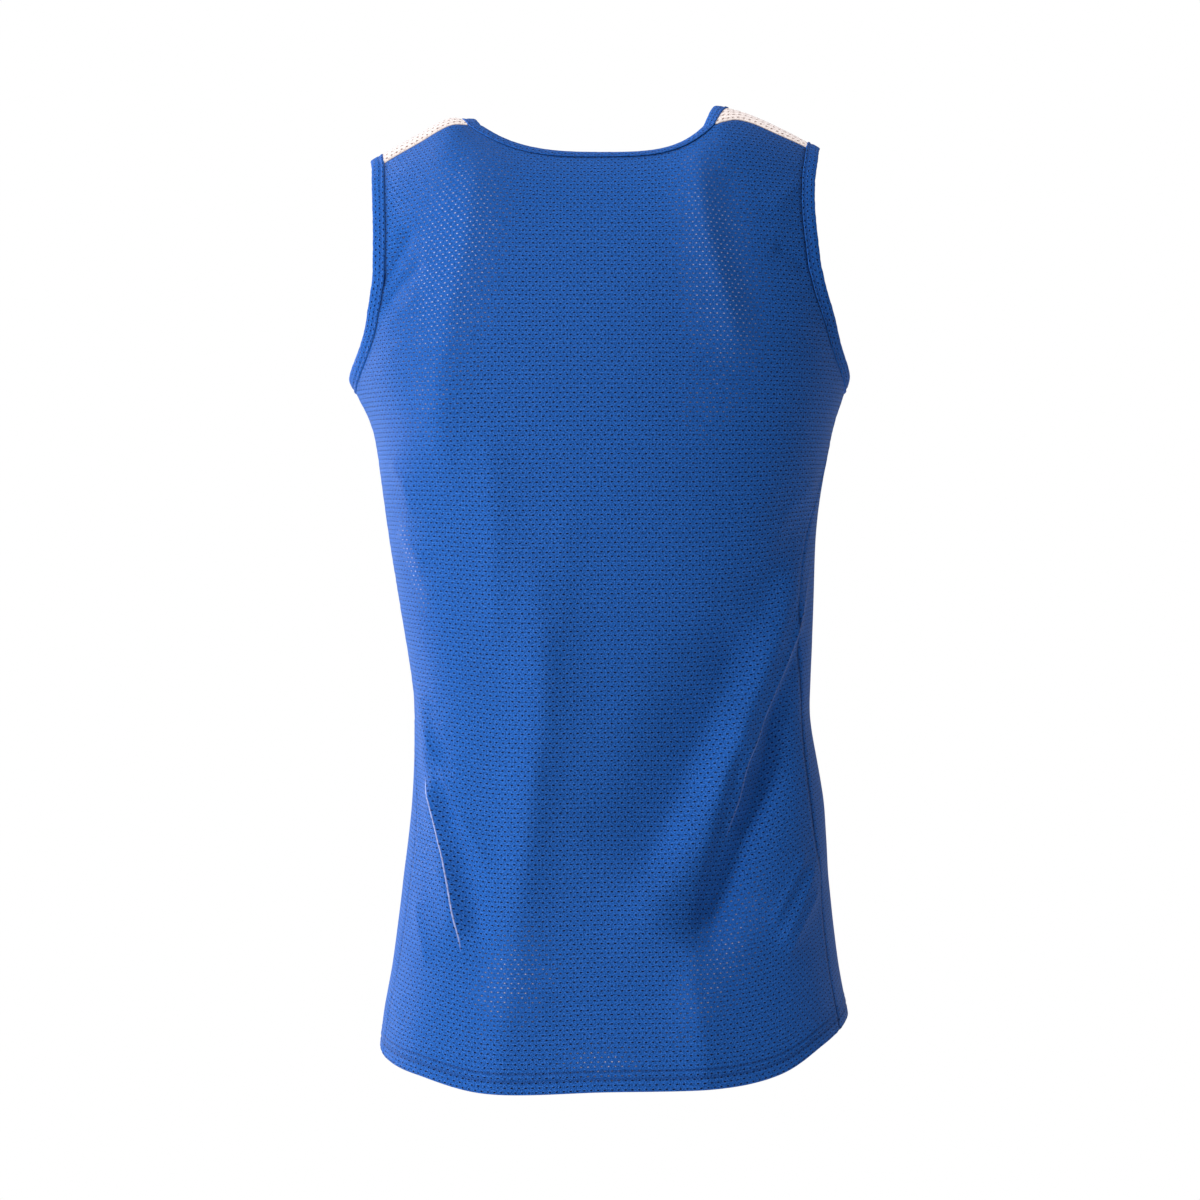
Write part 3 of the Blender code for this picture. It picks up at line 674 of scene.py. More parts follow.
def panel_angles(side, levels):
    """The angle of every grid point, even along each row, with the neck corners on columns at the top."""
    first, middle, last = COLUMNS[side]
    total = first + middle + last
    grid_corners = (0, first, first + middle, total)
    _, top_points, top_lengths = row_of_cloth(side, 2.0)
    order = np.argsort(top_points[:, 0])
    corner_x = (NECK_CORNER_LEFT, NECK_CORNER_RIGHT)
    corners = np.interp(corner_x, top_points[order, 0], top_lengths[order]) / top_lengths[-1]
    rows = []
    for level in levels:
        blend = ease(level - 1.0)
        left = SIDE_SHARE * first / total
        left = left + (corners[0] - left) * blend
        right = 1 - SIDE_SHARE * last / total
        right = right + (corners[1] - right) * blend
        shares = np.interp(np.arange(total + 1), grid_corners, (0, left, right, 1))
        angles, _, lengths = row_of_cloth(side, level)
        near_left = np.array(EDGE_COLUMNS)
        places = np.concatenate([[0.0], near_left, shares[1:-1] * lengths[-1],
                                 lengths[-1] - near_left[::-1], [lengths[-1]]])
        rows.append(np.interp(places, lengths, angles))
    return np.array(rows)


levels = panel_levels()
ARMPIT_ROW = int(np.searchsorted(levels, 1.0 - TINY))
print(len(levels), "rows, the armpit in row", ARMPIT_ROW)

# %% [markdown]
# ## Sewing pulls the cloth
#
# A seam is a narrow valley, because the thread pulls both edges in, with the cloth a little puffed and
# puckered beside it. The turned hem is two layers thick up to its raw edge, with a groove under each of its
# two rows of stitches. All of this is less than a millimetre, and it still shows, because light catches it.
# It is made as real relief and not as bump, from each point's distance to the seam.

# %% Relief beside seams and in the hem
CLOTH = 0.0007
SEAM_VALLEY = 0.0005
SEAM_VALLEY_WIDTH = 0.0013
SEAM_PUFF = 0.0003
SEAM_PUFF_AT = 0.0042
SEAM_PUFF_WIDTH = 0.0020
PUCKER = 0.00035
PUCKER_REACH = 0.0080
PUCKER_LENGTHS = (0.0113, 0.0071, 0.0187, 0.0049)
STITCH_GROOVE = 0.00050
STITCH_GROOVE_WIDTH = 0.0009
HEM_PUFF = 0.00035
HEM_RIPPLE = 0.00022
RIPPLE_LENGTHS = (0.0052, 0.0083, 0.0127)
RIPPLE_SLANT = 0.6
HEM_STEP = 0.0012
SEAM_WOBBLE = 0.00030
WOBBLE_LENGTHS = (0.0171, 0.0260, 0.0113)
PHASE_SPREAD = 1.7


def waves(along, lengths, phase):
    """An uneven wave between about -1 and 1, the sum of a few that never fall in step."""
    total = 0.0
    for number, length in enumerate(lengths):
        total = total + np.sin(2 * math.pi * along / length + phase * (number + PHASE_SPREAD) + number)
    return total / len(lengths)


def seam_relief(distance, along, phase):
    """How far cloth lies out beside a seam, by its distance from the seam and its place along it."""
    valley = -SEAM_VALLEY * np.exp(-((distance / SEAM_VALLEY_WIDTH) ** 2))
    puff = SEAM_PUFF * np.exp(-(((distance - SEAM_PUFF_AT) / SEAM_PUFF_WIDTH) ** 2))
    pucker = PUCKER * np.exp(-distance / PUCKER_REACH) * waves(along, PUCKER_LENGTHS, phase)
    return valley + puff + pucker * (1 - np.exp(-distance / SEAM_VALLEY_WIDTH))


def hem_relief(up, along):
    """How far the outside of the turned hem lies out, by the height over its edge and the place along it."""
    relief = 0.0
    for stitching in HEM_STITCHING:
        relief = relief - STITCH_GROOVE * np.exp(-(((up - stitching) / STITCH_GROOVE_WIDTH) ** 2))
    inside_hem = ease((HEM_DEPTH + HEM_STEP - up) / (2 * HEM_STEP)) * ease(up / HEM_STEP)
    ripple = waves(along + RIPPLE_SLANT * up, RIPPLE_LENGTHS, 0.8)
    return relief + inside_hem * (HEM_PUFF + HEM_RIPPLE * ripple)


print("deepest seam valley in mm:", 1000 * SEAM_VALLEY)

# %% [markdown]
# A sewn line also looks darker than the cloth, because no light gets down between its two edges. That shade
# is painted on: each point notes how dark it is, from its distance to the line, and the material mixes in
# the dark of the holes. The lines at the sides of this jersey fade out above the waist, where the seams are
# pulled flat.

# %% Painted shade along the sewing
SEWN_SHADE = 0.95
SEWN_WIDTH = 0.0009
HEM_SHADE = 0.45
NECK_SHADE = 0.65
SIDE_SHADE_LEFT = 0.45
SIDE_SHADE_RIGHT = 0.68
SIDE_SHADE_FADES = (-0.400, -0.360)
# Beside a binding the painted shade reaches past the binding's edge, as the shadow of its roll on the panel.
BINDING_OVERLAP = 0.0018


def line_shade(distance, start=0.0):
    """How much painted shade the cloth gets along a sewn line, by the distance from where the line starts."""
    return SEWN_SHADE * np.exp(-((np.maximum(distance - start, 0.0) / SEWN_WIDTH) ** 2))


def side_seam_shade(x, height):
    """How much painted shade a side seam gets at a place, as a share of a sewn line's."""
    low, high = SIDE_SHADE_FADES
    return np.where(x > 0, SIDE_SHADE_LEFT, SIDE_SHADE_RIGHT) * (1 - ease((height - low) / (high - low)))


print("width of the dark lines in mm:", 1000 * SEWN_WIDTH)

# %% [markdown]
# ## From grid to cloth
#
# One function turns a grid of points into a piece of cloth with an outside, an inside and a rim. Writing it
# once means that panels and insets all get the same two things. The first is a map called cloth, in metres
# of real fabric, so that the mesh's holes have their real size everywhere. The second is a map called
# OFBake, which lays outside and inside beside each other on one flat sheet, so that each can keep its own
# picture later.

# %% Meshes, their maps and their painted values
def grid_faces(rows, columns, first=0, turned=False):
    """Four corners of every cell of a grid whose points are numbered row by row."""
    corner = np.arange(rows * columns).reshape(rows, columns)[:-1, :-1].ravel() + first
    faces = np.stack([corner, corner + 1, corner + columns + 1, corner + columns], axis=1)
    return faces[:, ::-1] if turned else faces


def quad_mesh(name, vertices, faces):
    """A smooth mesh from numbered corners."""
    mesh = bpy.data.meshes.new(name)
    mesh.vertices.add(len(vertices))
    mesh.vertices.foreach_set("co", np.asarray(vertices, np.float32).ravel())
    mesh.loops.add(faces.size)
    mesh.loops.foreach_set("vertex_index", faces.astype(np.int32).ravel())
    mesh.polygons.add(len(faces))
    mesh.polygons.foreach_set("loop_start", np.arange(0, faces.size, faces.shape[1], dtype=np.int32))
    mesh.update(calc_edges=True)
    mesh.validate()
    mesh.shade_smooth()
    return mesh


def add_piece(name, mesh, finish):
    """Puts a mesh in the scene as a piece of the garment."""
    mesh.materials.append(finish)
    piece = bpy.data.objects.new(name, mesh)
    bpy.context.scene.collection.objects.link(piece)
    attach(piece, "root")
    return piece


def add_map(mesh, name, places):
    """A flat map, from one place for every corner of every face."""
    layer = mesh.uv_layers.new(name=name)
    layer.data.foreach_set("uv", places.astype(np.float32).ravel())


def add_value(mesh, name, per_vertex):
    """A number painted on every point, for the material to read."""
    attribute = mesh.attributes.new(name, "FLOAT", "POINT")
    attribute.data.foreach_set("value", per_vertex.astype(np.float32).ravel())


# %% Cloth from a grid of points
BAKE_MARGIN = 0.004
BAKE_RIM = 0.002


def lengths_along(points, axis):
    """Length of cloth from the first point along an axis of a grid."""
    steps = np.linalg.norm(np.diff(points, axis=axis), axis=-1)
    total = np.cumsum(steps, axis=axis)
    start = np.zeros_like(np.take(total, [0], axis=axis))
    return np.concatenate([start, total], axis=axis)


def bake_places(points):
    """A place on the left half of the flat sheet for every point of a grid."""
    across = lengths_along(points, axis=1).mean(axis=0)
    up = lengths_along(points, axis=0).mean(axis=1)
    x = BAKE_MARGIN + across / across[-1] * (0.5 - 2 * BAKE_MARGIN)
    y = BAKE_MARGIN + up / up[-1] * (1 - 2 * BAKE_MARGIN)
    return grid_of(x[None, :], y[:, None])


def cloth_piece(name, outer, inner, metres, values, finish):
    """A piece of cloth between two grids of points, closed by a rim, with its maps and painted values."""
    rows, columns = outer.shape[:2]
    count = rows * columns
    vertices = np.concatenate([outer.reshape(-1, 3), inner.reshape(-1, 3)])
    edge = [(0, c) for c in range(columns)]
    edge += [(r, columns - 1) for r in range(1, rows)]
    edge += [(rows - 1, c) for c in range(columns - 2, -1, -1)]
    edge += [(r, 0) for r in range(rows - 2, 0, -1)]
    here = np.array([r * columns + c for r, c in edge])
    there = np.roll(here, -1)
    rim = np.stack([there, here, here + count, there + count], axis=1)
    grid = grid_faces(rows, columns)
    faces = np.concatenate([grid, grid_faces(rows, columns, count, turned=True), rim])

    places = bake_places(outer).reshape(-1, 2)
    beyond = np.array([((c == columns - 1) - (c == 0), (r == rows - 1) - (r == 0)) for r, c in edge])
    beyond = places[here] + BAKE_RIM * beyond
    rim_places = np.stack([places[there], places[here], beyond, np.roll(beyond, -1, axis=0)], axis=1)
    bake = np.concatenate([places[grid], places[grid[:, ::-1]] + (0.5, 0.0), rim_places])

    way_out = np.cross(outer[0, 1] - outer[0, 0], outer[1, 0] - outer[0, 0])
    if np.dot(way_out, outer[0, 0] - inner[0, 0]) < 0:
        faces = faces[:, ::-1]
        bake = bake[:, ::-1]
    mesh = quad_mesh(name, vertices, faces)
    add_map(mesh, "cloth", np.concatenate([metres.reshape(-1, 2)] * 2)[faces])
    add_map(mesh, "OFBake", bake)
    for value_name, value in values.items():
        add_value(mesh, value_name, np.concatenate([value.ravel()] * 2))
    add_value(mesh, "inside", np.repeat([0.0, 1.0], count))
    return add_piece(name, mesh, finish)


# %% [markdown]
# ## The eyelet mesh as a material
#
# Jersey mesh is knitted with small holes in staggered rows, about 5 mm apart along a row and 3 mm from row
# to row. Tens of thousands of real holes would make a mesh too heavy to use, so they are painted and dented
# by the material. They are painted dark, as painted shade of the inside seen through them. The cloth map
# gives a place in metres. Dividing it by the spacing gives a cell for each hole, and the distance from the
# cell's middle gives the hole. A random number for each cell makes every hole a bit different.

# %% Helpers that wire up a material
def new_material(name):
    """A material with its wiring and its main shader."""
    material = bpy.data.materials.new(name)
    material.use_nodes = True
    return material, material.node_tree, material.node_tree.nodes["Principled BSDF"]


def calculate(tree, operation, *values):
    """A Math node fed with sockets or plain numbers. Gives the socket of its result."""
    node = tree.nodes.new("ShaderNodeMath")
    node.operation = operation
    for socket, value in zip(node.inputs, values):
        if isinstance(value, (int, float)):
            socket.default_value = value
        else:
            tree.links.new(value, socket)
    return node.outputs[0]


def remap(tree, value, low, high, to_low=0.0, to_high=1.0):
    """A soft step from one value to another while the input goes from low to high."""
    node = tree.nodes.new("ShaderNodeMapRange")
    node.interpolation_type = "SMOOTHSTEP"
    tree.links.new(value, node.inputs["Value"])
    for socket, number in zip(("From Min", "From Max", "To Min", "To Max"), (low, high, to_low, to_high)):
        node.inputs[socket].default_value = number
    return node.outputs["Result"]


def mix_colour(tree, share, first, second, blend="MIX"):
    """Mixes two colours. Each is a socket or three numbers."""
    node = tree.nodes.new("ShaderNodeMix")
    node.data_type = "RGBA"
    node.blend_type = blend
    ends = [socket for socket in node.inputs if socket.type == "RGBA"]
    share_socket = node.inputs[0]
    if isinstance(share, (int, float)):
        share_socket.default_value = share
    else:
        tree.links.new(share, share_socket)
    for socket, value in zip(ends, (first, second)):
        if isinstance(value, tuple):
            socket.default_value = (*value, 1.0)
        else:
            tree.links.new(value, socket)
    return next(socket for socket in node.outputs if socket.type == "RGBA")


def painted(tree, name):
    """A number that was painted on the points."""
    node = tree.nodes.new("ShaderNodeAttribute")
    node.attribute_name = name
    return node.outputs["Fac"]


def cloth_place(tree):
    """A place on the cloth in metres, and the two distances apart."""
    uv = tree.nodes.new("ShaderNodeUVMap")
    uv.uv_map = "cloth"
    split = tree.nodes.new("ShaderNodeSeparateXYZ")
    tree.links.new(uv.outputs["UV"], split.inputs[0])
    return uv.outputs["UV"], split.outputs["X"], split.outputs["Y"]


# %% Holes in staggered rows
HOLE_SPACING = 0.00515
HOLE_ROW = 0.00332
HOLE_WIDTH = 0.00190
HOLE_HEIGHT = 0.00105
HOLE_RIM = (0.70, 1.20)
HOLE_SIZES = (0.92, 1.08)


def staggered_holes(tree, across, up):
    """How much of a hole a place has, its distance in hole sizes, a number for each hole, and the row."""
    row = calculate(tree, "DIVIDE", up, HOLE_ROW)
    row_number = calculate(tree, "FLOOR", row)
    shift = calculate(tree, "FRACT", calculate(tree, "MULTIPLY", row_number, 0.5))
    place = calculate(tree, "ADD", calculate(tree, "DIVIDE", across, HOLE_SPACING), shift)
    place_number = calculate(tree, "FLOOR", place)
    cell = tree.nodes.new("ShaderNodeCombineXYZ")
    tree.links.new(place_number, cell.inputs["X"])
    tree.links.new(row_number, cell.inputs["Y"])
    chance = tree.nodes.new("ShaderNodeTexWhiteNoise")
    chance.noise_dimensions = "2D"
    tree.links.new(cell.outputs[0], chance.inputs["Vector"])
    beside = calculate(tree, "SUBTRACT", calculate(tree, "FRACT", place), 0.5)
    above = calculate(tree, "SUBTRACT", calculate(tree, "FRACT", row), 0.5)
    beside = calculate(tree, "MULTIPLY", beside, 2 * HOLE_SPACING / HOLE_WIDTH)
    above = calculate(tree, "MULTIPLY", above, 2 * HOLE_ROW / HOLE_HEIGHT)
    square = calculate(tree, "ADD", calculate(tree, "MULTIPLY", beside, beside),
                       calculate(tree, "MULTIPLY", above, above))
    smallest, largest = HOLE_SIZES
    size = calculate(tree, "MULTIPLY_ADD", chance.outputs["Value"], largest - smallest, smallest)
    distance = calculate(tree, "DIVIDE", calculate(tree, "SQRT", square), size)
    return remap(tree, distance, *HOLE_RIM, 1.0, 0.0), distance, chance.outputs["Value"], row


# %% Knitted eyelet mesh
KNIT_WALE = 0.00086
KNIT_COURSE = 0.00083
LIP_REACH = (1.2, 2.4)
SPECKLE_SIZE = 0.0011
DARK_SPECKLE = (0.48, 0.68)
LIGHT_SPECKLE = (0.50, 0.32)
PALE_CHANCE = 0.30
PALE_FROM = 0.22
PALE_CORE = (0.35, 0.90)
EDGE_WIDTH = 0.0009
EDGE_HIGHLIGHT = 0.60
HOLE_ROUGHER = 0.2
SHEEN_TINT = (0.58, 0.70, 1.0, 1.0)


def knit_waves(tree, across, up):
    """The small bumps of the knitted loops, between -1 and 1."""
    wale = calculate(tree, "SINE", calculate(tree, "MULTIPLY", across, 2 * math.pi / KNIT_WALE))
    course = calculate(tree, "SINE", calculate(tree, "MULTIPLY", up, 2 * math.pi / KNIT_COURSE))
    return calculate(tree, "MULTIPLY", wale, course)


def speckles(tree, place):
    """Dark specks, as uneven yarn has them, and light ones that are uneven yarn and painted sheen."""
    noise = tree.nodes.new("ShaderNodeTexNoise")
    noise.inputs["Scale"].default_value = 1 / SPECKLE_SIZE
    noise.inputs["Detail"].default_value = 1.0
    tree.links.new(place, noise.inputs["Vector"])
    return remap(tree, noise.outputs["Fac"], *DARK_SPECKLE), remap(tree, noise.outputs["Fac"], *LIGHT_SPECKLE)


def painted_light_share(tree, distance, chance):
    """How much painted light a hole shows: full in its middle, more in some holes than in others."""
    differs = calculate(tree, "MULTIPLY_ADD", chance, PALE_CHANCE, -PALE_CHANCE / 2)
    pale = remap(tree, calculate(tree, "ADD", painted(tree, "painted_light_holes"), differs), PALE_FROM, 1.0)
    return calculate(tree, "MULTIPLY", pale, remap(tree, distance, *PALE_CORE, 1.0, 0.0))


def sharp_share(tree):
    """Full on the sharp edge of a crease, and nothing beside it."""
    from_edge = calculate(tree, "ABSOLUTE", painted(tree, "beside_edge"))
    edge = remap(tree, from_edge, EDGE_WIDTH / 4, EDGE_WIDTH, 1.0, 0.0)
    return calculate(tree, "MULTIPLY", edge, painted(tree, "how_sharp"))


def eyelet_mesh(name, colours, roughness, sheen, hole_depth):
    """A material for eyelet mesh. Colours are named: cloth, light, hole, pale_hole and inside."""
    material, tree, shader = new_material(name)
    place, across, up = cloth_place(tree)
    hole, distance, chance, row = staggered_holes(tree, across, up)
    knit = knit_waves(tree, across, up)
    lip = calculate(tree, "SUBTRACT", remap(tree, distance, *LIP_REACH, 1.0, 0.0), hole)
    dark_speck, sheen_and_yarn_speck = speckles(tree, place)
    rib = calculate(tree, "COSINE", calculate(tree, "MULTIPLY", row, 2 * math.pi))
    edge = sharp_share(tree)

    # Each tint has what it follows, how much it gains while that goes from 0 to 1, how much of it there is
    # at 0, and its colour.
    tints = (
        (knit, 0.14, 0.16, colours["light"]),
        # The lip round each hole is painted lighter: a painted highlight on it, besides its bump.
        (lip, 0.45, 0.0, colours["light"]),
        (dark_speck, 0.45, 0.0, colours["hole"]),
        # Light specks: uneven yarn and painted sheen.
        (sheen_and_yarn_speck, 0.55, 0.0, colours["light"]),
        (rib, -0.07, 0.07, colours["hole"]),
        (painted(tree, "inside"), 1.0, 0.0, colours["inside"]),
    )
    colour = colours["cloth"]
    for value, gain, least, tint in tints:
        colour = mix_colour(tree, calculate(tree, "MULTIPLY_ADD", value, gain, least), colour, tint)
    pale = painted_light_share(tree, distance, chance)
    # The holes are painted dark, as shade of the inside seen through them, and pale in the patches of painted
    # light.
    colour = mix_colour(tree, hole, colour, mix_colour(tree, pale, colours["hole"], colours["pale_hole"]))
    # Painted shade along the sewn lines.
    colour = mix_colour(tree, painted(tree, "sewn"), colour, colours["hole"])
    # Painted highlight along the sharp edges of creases.
    colour = mix_colour(tree, calculate(tree, "MULTIPLY", edge, EDGE_HIGHLIGHT), colour, colours["pale_hole"])
    tree.links.new(colour, shader.inputs["Base Color"])

    height = calculate(tree, "MULTIPLY", hole, -1.0)
    for value, gain in ((edge, 0.5), (knit, 0.12), (lip, 0.25)):
        height = calculate(tree, "MULTIPLY_ADD", value, gain, height)
    bump = tree.nodes.new("ShaderNodeBump")
    bump.inputs["Distance"].default_value = hole_depth
    bump.inputs["Strength"].default_value = 0.8
    tree.links.new(height, bump.inputs["Height"])
    tree.links.new(bump.outputs["Normal"], shader.inputs["Normal"])

    tree.links.new(calculate(tree, "MULTIPLY_ADD", hole, HOLE_ROUGHER, roughness), shader.inputs["Roughness"])
    shader.inputs["Sheen Weight"].default_value = sheen
    shader.inputs["Sheen Roughness"].default_value = 0.35
    shader.inputs["Sheen Tint"].default_value = SHEEN_TINT
    shader.inputs["Specular IOR Level"].default_value = 0.08
    return material


# %% Finishes of this jersey
# In these finishes the hole colour is painted shade of the inside seen through the holes. It also darkens the
# dark specks, the rows and the painted shade of the sewn lines. The pale_hole colour is painted light: in the
# holes where light comes through, and as a highlight on sharp edges. The light colour is lighter yarn, and it
# also carries painted sheen in the light specks and a painted highlight on the lips of the holes.
BLUE = {
    "cloth": (0.0020, 0.089, 0.417),
    "light": (0.0460, 0.182, 0.610),
    "hole": (0.0003, 0.006, 0.040),
    "pale_hole": (0.52, 0.57, 0.88),
    "inside": (0.0025, 0.080, 0.380),
}
WHITE = {
    "cloth": (0.83, 0.74, 0.71),
    "light": (0.90, 0.83, 0.80),
    "hole": (0.24, 0.15, 0.12),
    "pale_hole": (0.24, 0.15, 0.12),
    "inside": (0.72, 0.65, 0.63),
}
BINDING_BLUE = dict(BLUE, hole=(0.0005, 0.008, 0.055))
THREAD_BLUE = (0.004, 0.085, 0.400)
blue_mesh = eyelet_mesh("blue_eyelet_mesh", BLUE, roughness=0.50, sheen=0.088, hole_depth=0.0011)
white_mesh = eyelet_mesh("white_eyelet_mesh", WHITE, roughness=0.62, sheen=0.15, hole_depth=0.0004)
binding_mesh = eyelet_mesh("blue_binding_mesh", BINDING_BLUE, roughness=0.60, sheen=0.08, hole_depth=0.0008)
thread, _, thread_shader = new_material("blue_thread")
thread_shader.inputs["Base Color"].default_value = (*THREAD_BLUE, 1.0)
thread_shader.inputs["Roughness"].default_value = 0.45
print("materials:", [material.name for material in bpy.data.materials])

# %% [markdown]
# ## Back and front panels
#
# The grid is put on the body, the folds lift it, and the sewing presses it. The cloth map comes from
# lengths measured along the rows and up the columns, as a tape measure laid on the cloth would give them.
# So the rows of holes bend with the garment, run along the hem, and tilt where the cloth turns over the
# shoulder.
#
# Where light comes through the cloth from behind, its holes look pale and not dark. That light is painted:
# the holes are made pale in a few broad patches, on the shoulder blades and the hips. Their places are a
# table, painted on the points as a value.

# %% Patches of painted light in the holes
PAINTED_LIGHT_PATCHES = (
    ("degrees", "height", "half_width", "half_height", "lean", "strength"),
    (57, -0.120, 0.036, 0.096, 0.15, 1.00),
    (49, -0.215, 0.026, 0.060, 0.15, 0.55),
    (117, -0.128, 0.027, 0.098, -0.12, 1.00),
    (117, -0.222, 0.026, 0.050, 0.20, 0.50),
    (31, -0.350, 0.009, 0.045, -0.25, 1.00),
    (68, -0.668, 0.036, 0.042, 0.20, 0.72),
    (119, -0.650, 0.027, 0.066, 0.45, 0.70),
    (91, -0.728, 0.030, 0.013, 0.00, 0.80),
    (238, -0.185, 0.032, 0.095, 0.15, 0.62),
    (303, -0.190, 0.034, 0.100, -0.15, 0.66),
    (241, -0.640, 0.040, 0.052, 0.30, 0.50),
    (299, -0.650, 0.038, 0.055, -0.30, 0.55),
)


def painted_light_patches(angle, height):
    """How much painted light the holes show at a place, from 0 to 1."""
    pale = np.zeros_like(angle)
    for degrees, middle, half_width, half_height, lean, strength in PAINTED_LIGHT_PATCHES[1:]:
        up = height - middle
        across = (angle - math.radians(degrees)) * metres_a_radian(angle) - lean * up
        reach = (across / half_width) ** 2 + (up / half_height) ** 2
        pale = np.maximum(pale, strength * np.exp(-reach))
    return pale


# %% Where each point lies on the flat cloth
ROW_TILT_LEFT = 0.21
ROW_TILT_RIGHT = 0.04
TILT_FROM = (0.085, 0.130)
TILT_SAMPLES = 40
TILT_SHARES = (0.02, 0.98)
TILT_RISE = (-0.225, -0.105)
CLIMB_SAMPLES = 16
LEAST_FALL = 0.1


def climb_over_shoulder(points):
    """Metres of cloth from the armpits up to each point, over the curve of the shoulder."""
    x, y, z = np.moveaxis(points, -1, 0)
    shares = np.linspace(0, 1, CLIMB_SAMPLES)[:, None, None]
    heights = ARMPIT_HEIGHT + shares * np.maximum(z - ARMPIT_HEIGHT, 0.0)
    depths = y / np.maximum(fall(x, z), LEAST_FALL) * fall(x, heights)
    return np.hypot(np.diff(heights, axis=0), np.diff(depths, axis=0)).sum(axis=0)


def past_tilt_start(beside):
    """Metres past the place where the rows begin to drop, with up to half a step more that comes softly."""
    places = np.linspace(*TILT_FROM, TILT_SAMPLES)
    step = places[1] - places[0]
    softly = np.cumsum(ease(np.linspace(*TILT_SHARES, TILT_SAMPLES - 1))) / (TILT_SAMPLES - 1)
    more = np.concatenate([[0.0], softly]) * step
    return np.interp(beside, places, more) + np.maximum(beside - places[1], 0.0)


def place_on_cloth(level, smooth_points, along):
    """Where each grid point lies on the flat cloth: metres from the centre line, and metres up the rows."""
    x = smooth_points[..., 0]
    centre = [np.interp(0.0, -x[row], along[row]) for row in range(len(along))]
    # Rows of holes follow the hem, lie level at the armpits, and drop towards the armholes above them.
    tilt = np.where(x > 0, ROW_TILT_LEFT, ROW_TILT_RIGHT)
    drop = past_tilt_start(np.abs(x))
    high = ease((smooth_points[..., 2] - TILT_RISE[0]) / (TILT_RISE[1] - TILT_RISE[0]))
    up = np.minimum(level, 1.0) * LOWER_HEIGHT + climb_over_shoulder(smooth_points) + tilt * drop * high
    return grid_of(along - np.array(centre)[:, None], up)


# %% A panel's grid: folds, creases and sewing
ANGLE_STEP = 0.002
CALM_ARMPIT = 0.02
SEAM_CORNER = 0.002


def panel_relief(level, up, along, from_sides, from_top, on_shoulder):
    """How far the sewing moves a panel's cloth out, from its distances to the seams."""
    beside_seam = ease((1.0 - level) / CALM_ARMPIT)
    relief = (seam_relief(from_sides[0], up, 0.3) + seam_relief(from_sides[1], up, 2.1)) * beside_seam
    relief = relief + seam_relief(from_top, along, 4.4) * on_shoulder
    return relief + np.where(level < 1.0, hem_relief(level * LOWER_HEIGHT, along), 0.0)


def panel_shade(points, level, from_side, from_top, on_shoulder):
    """How much painted shade the sewn lines put on a panel at its points."""
    side_line = side_seam_shade(points[..., 0], points[..., 2]) * line_shade(from_side)
    sewn = np.where(level > 1.0, line_shade(from_side, BINDING_OVERLAP), side_line)
    neck_line = NECK_SHADE * line_shade(from_top, BINDING_OVERLAP)
    sewn = np.maximum(sewn, np.where(on_shoulder > 0.5, line_shade(from_top), neck_line))
    for stitching in HEM_STITCHING:
        sewn = np.maximum(sewn, HEM_SHADE * line_shade(np.abs(level * LOWER_HEIGHT - stitching)))
    return sewn


def panel_grid(side):
    """Everything that is known about a panel's grid: points, way out, places on the cloth, painted values."""
    angles = panel_angles(side, levels)
    level = np.repeat(levels[:, None], angles.shape[1], axis=1)
    step = ANGLE_STEP
    smooth_points = surface(side, angles, level)
    round_body = surface(side, angles + step, level) - surface(side, angles - step, level)
    up_body = surface(side, angles, level + step) - surface(side, angles, level - step)
    outward = unit(np.cross(round_body, up_body))
    height = smooth_points[..., 2]
    along = lengths_along(smooth_points, axis=1)
    up = lengths_along(smooth_points, axis=0)
    metres = place_on_cloth(level, smooth_points, along)

    wobble = SEAM_WOBBLE * waves(up, WOBBLE_LENGTHS, 1.1)
    from_left = np.abs(along - np.where(level < 1.0, SEAM_WOBBLE + wobble, 0.0))
    from_right = np.abs(along[:, -1:] - along - np.where(level < 1.0, SEAM_WOBBLE - wobble, 0.0))
    from_top = up[-1:] - up
    top_x = smooth_points[-1, :, 0]
    corner = np.where(top_x > 0, NECK_CORNER_LEFT, -NECK_CORNER_RIGHT)
    on_shoulder = ease((np.abs(top_x) - corner) / SEAM_CORNER + 0.5)[None, :]

    rough = UNEVEN_LIFT * uneven(metres, UNEVEN_SEED + (side == "front"))
    lift = (fold_lift(angles, height) + crease_lift(angles, height) + rough) * ease((2.0 - level) / CALM_TOP)
    lift = lift + panel_relief(level, up, along, (from_left, from_right), from_top, on_shoulder)
    beside_edge, how_sharp = sharp_edges(angles, height)
    from_side = np.minimum(from_left, from_right)
    return {
        "points": smooth_points + outward * lift[..., None],
        "outward": outward,
        "metres": metres,
        "up_hem": level * LOWER_HEIGHT,
        "values": {
            "painted_light_holes": painted_light_patches(angles, height),
            "sewn": panel_shade(smooth_points, level, from_side, from_top, on_shoulder),
            "beside_edge": beside_edge,
            "how_sharp": how_sharp,
        },
    }


# %% Both panels, doubled at the hem
HEM_ROUNDING = 0.0010
OUTER_AT_EDGE = 0.25
INNER_AT_EDGE = 0.20


def panel_piece(name, node, grid):
    """A panel of cloth, doubled where its hem is turned up and rounded off at the fold."""
    thick = 1 - ease(1 - grid["up_hem"] / HEM_ROUNDING)
    turned_up = (grid["up_hem"] < HEM_DEPTH + TINY).astype(float)
    outer_half = CLOTH / 2 * (OUTER_AT_EDGE + (1 - OUTER_AT_EDGE) * thick)
    inner_half = CLOTH / 2 + turned_up * CLOTH * (INNER_AT_EDGE + (1 - INNER_AT_EDGE) * thick)
    outer = grid["points"] + grid["outward"] * outer_half[..., None]
    inner = grid["points"] - grid["outward"] * inner_half[..., None]
    grid["outer"] = outer
    grid["inner"] = inner
    piece = cloth_piece(name, outer, inner, grid["metres"], grid["values"], blue_mesh)
    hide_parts(node)
    return piece


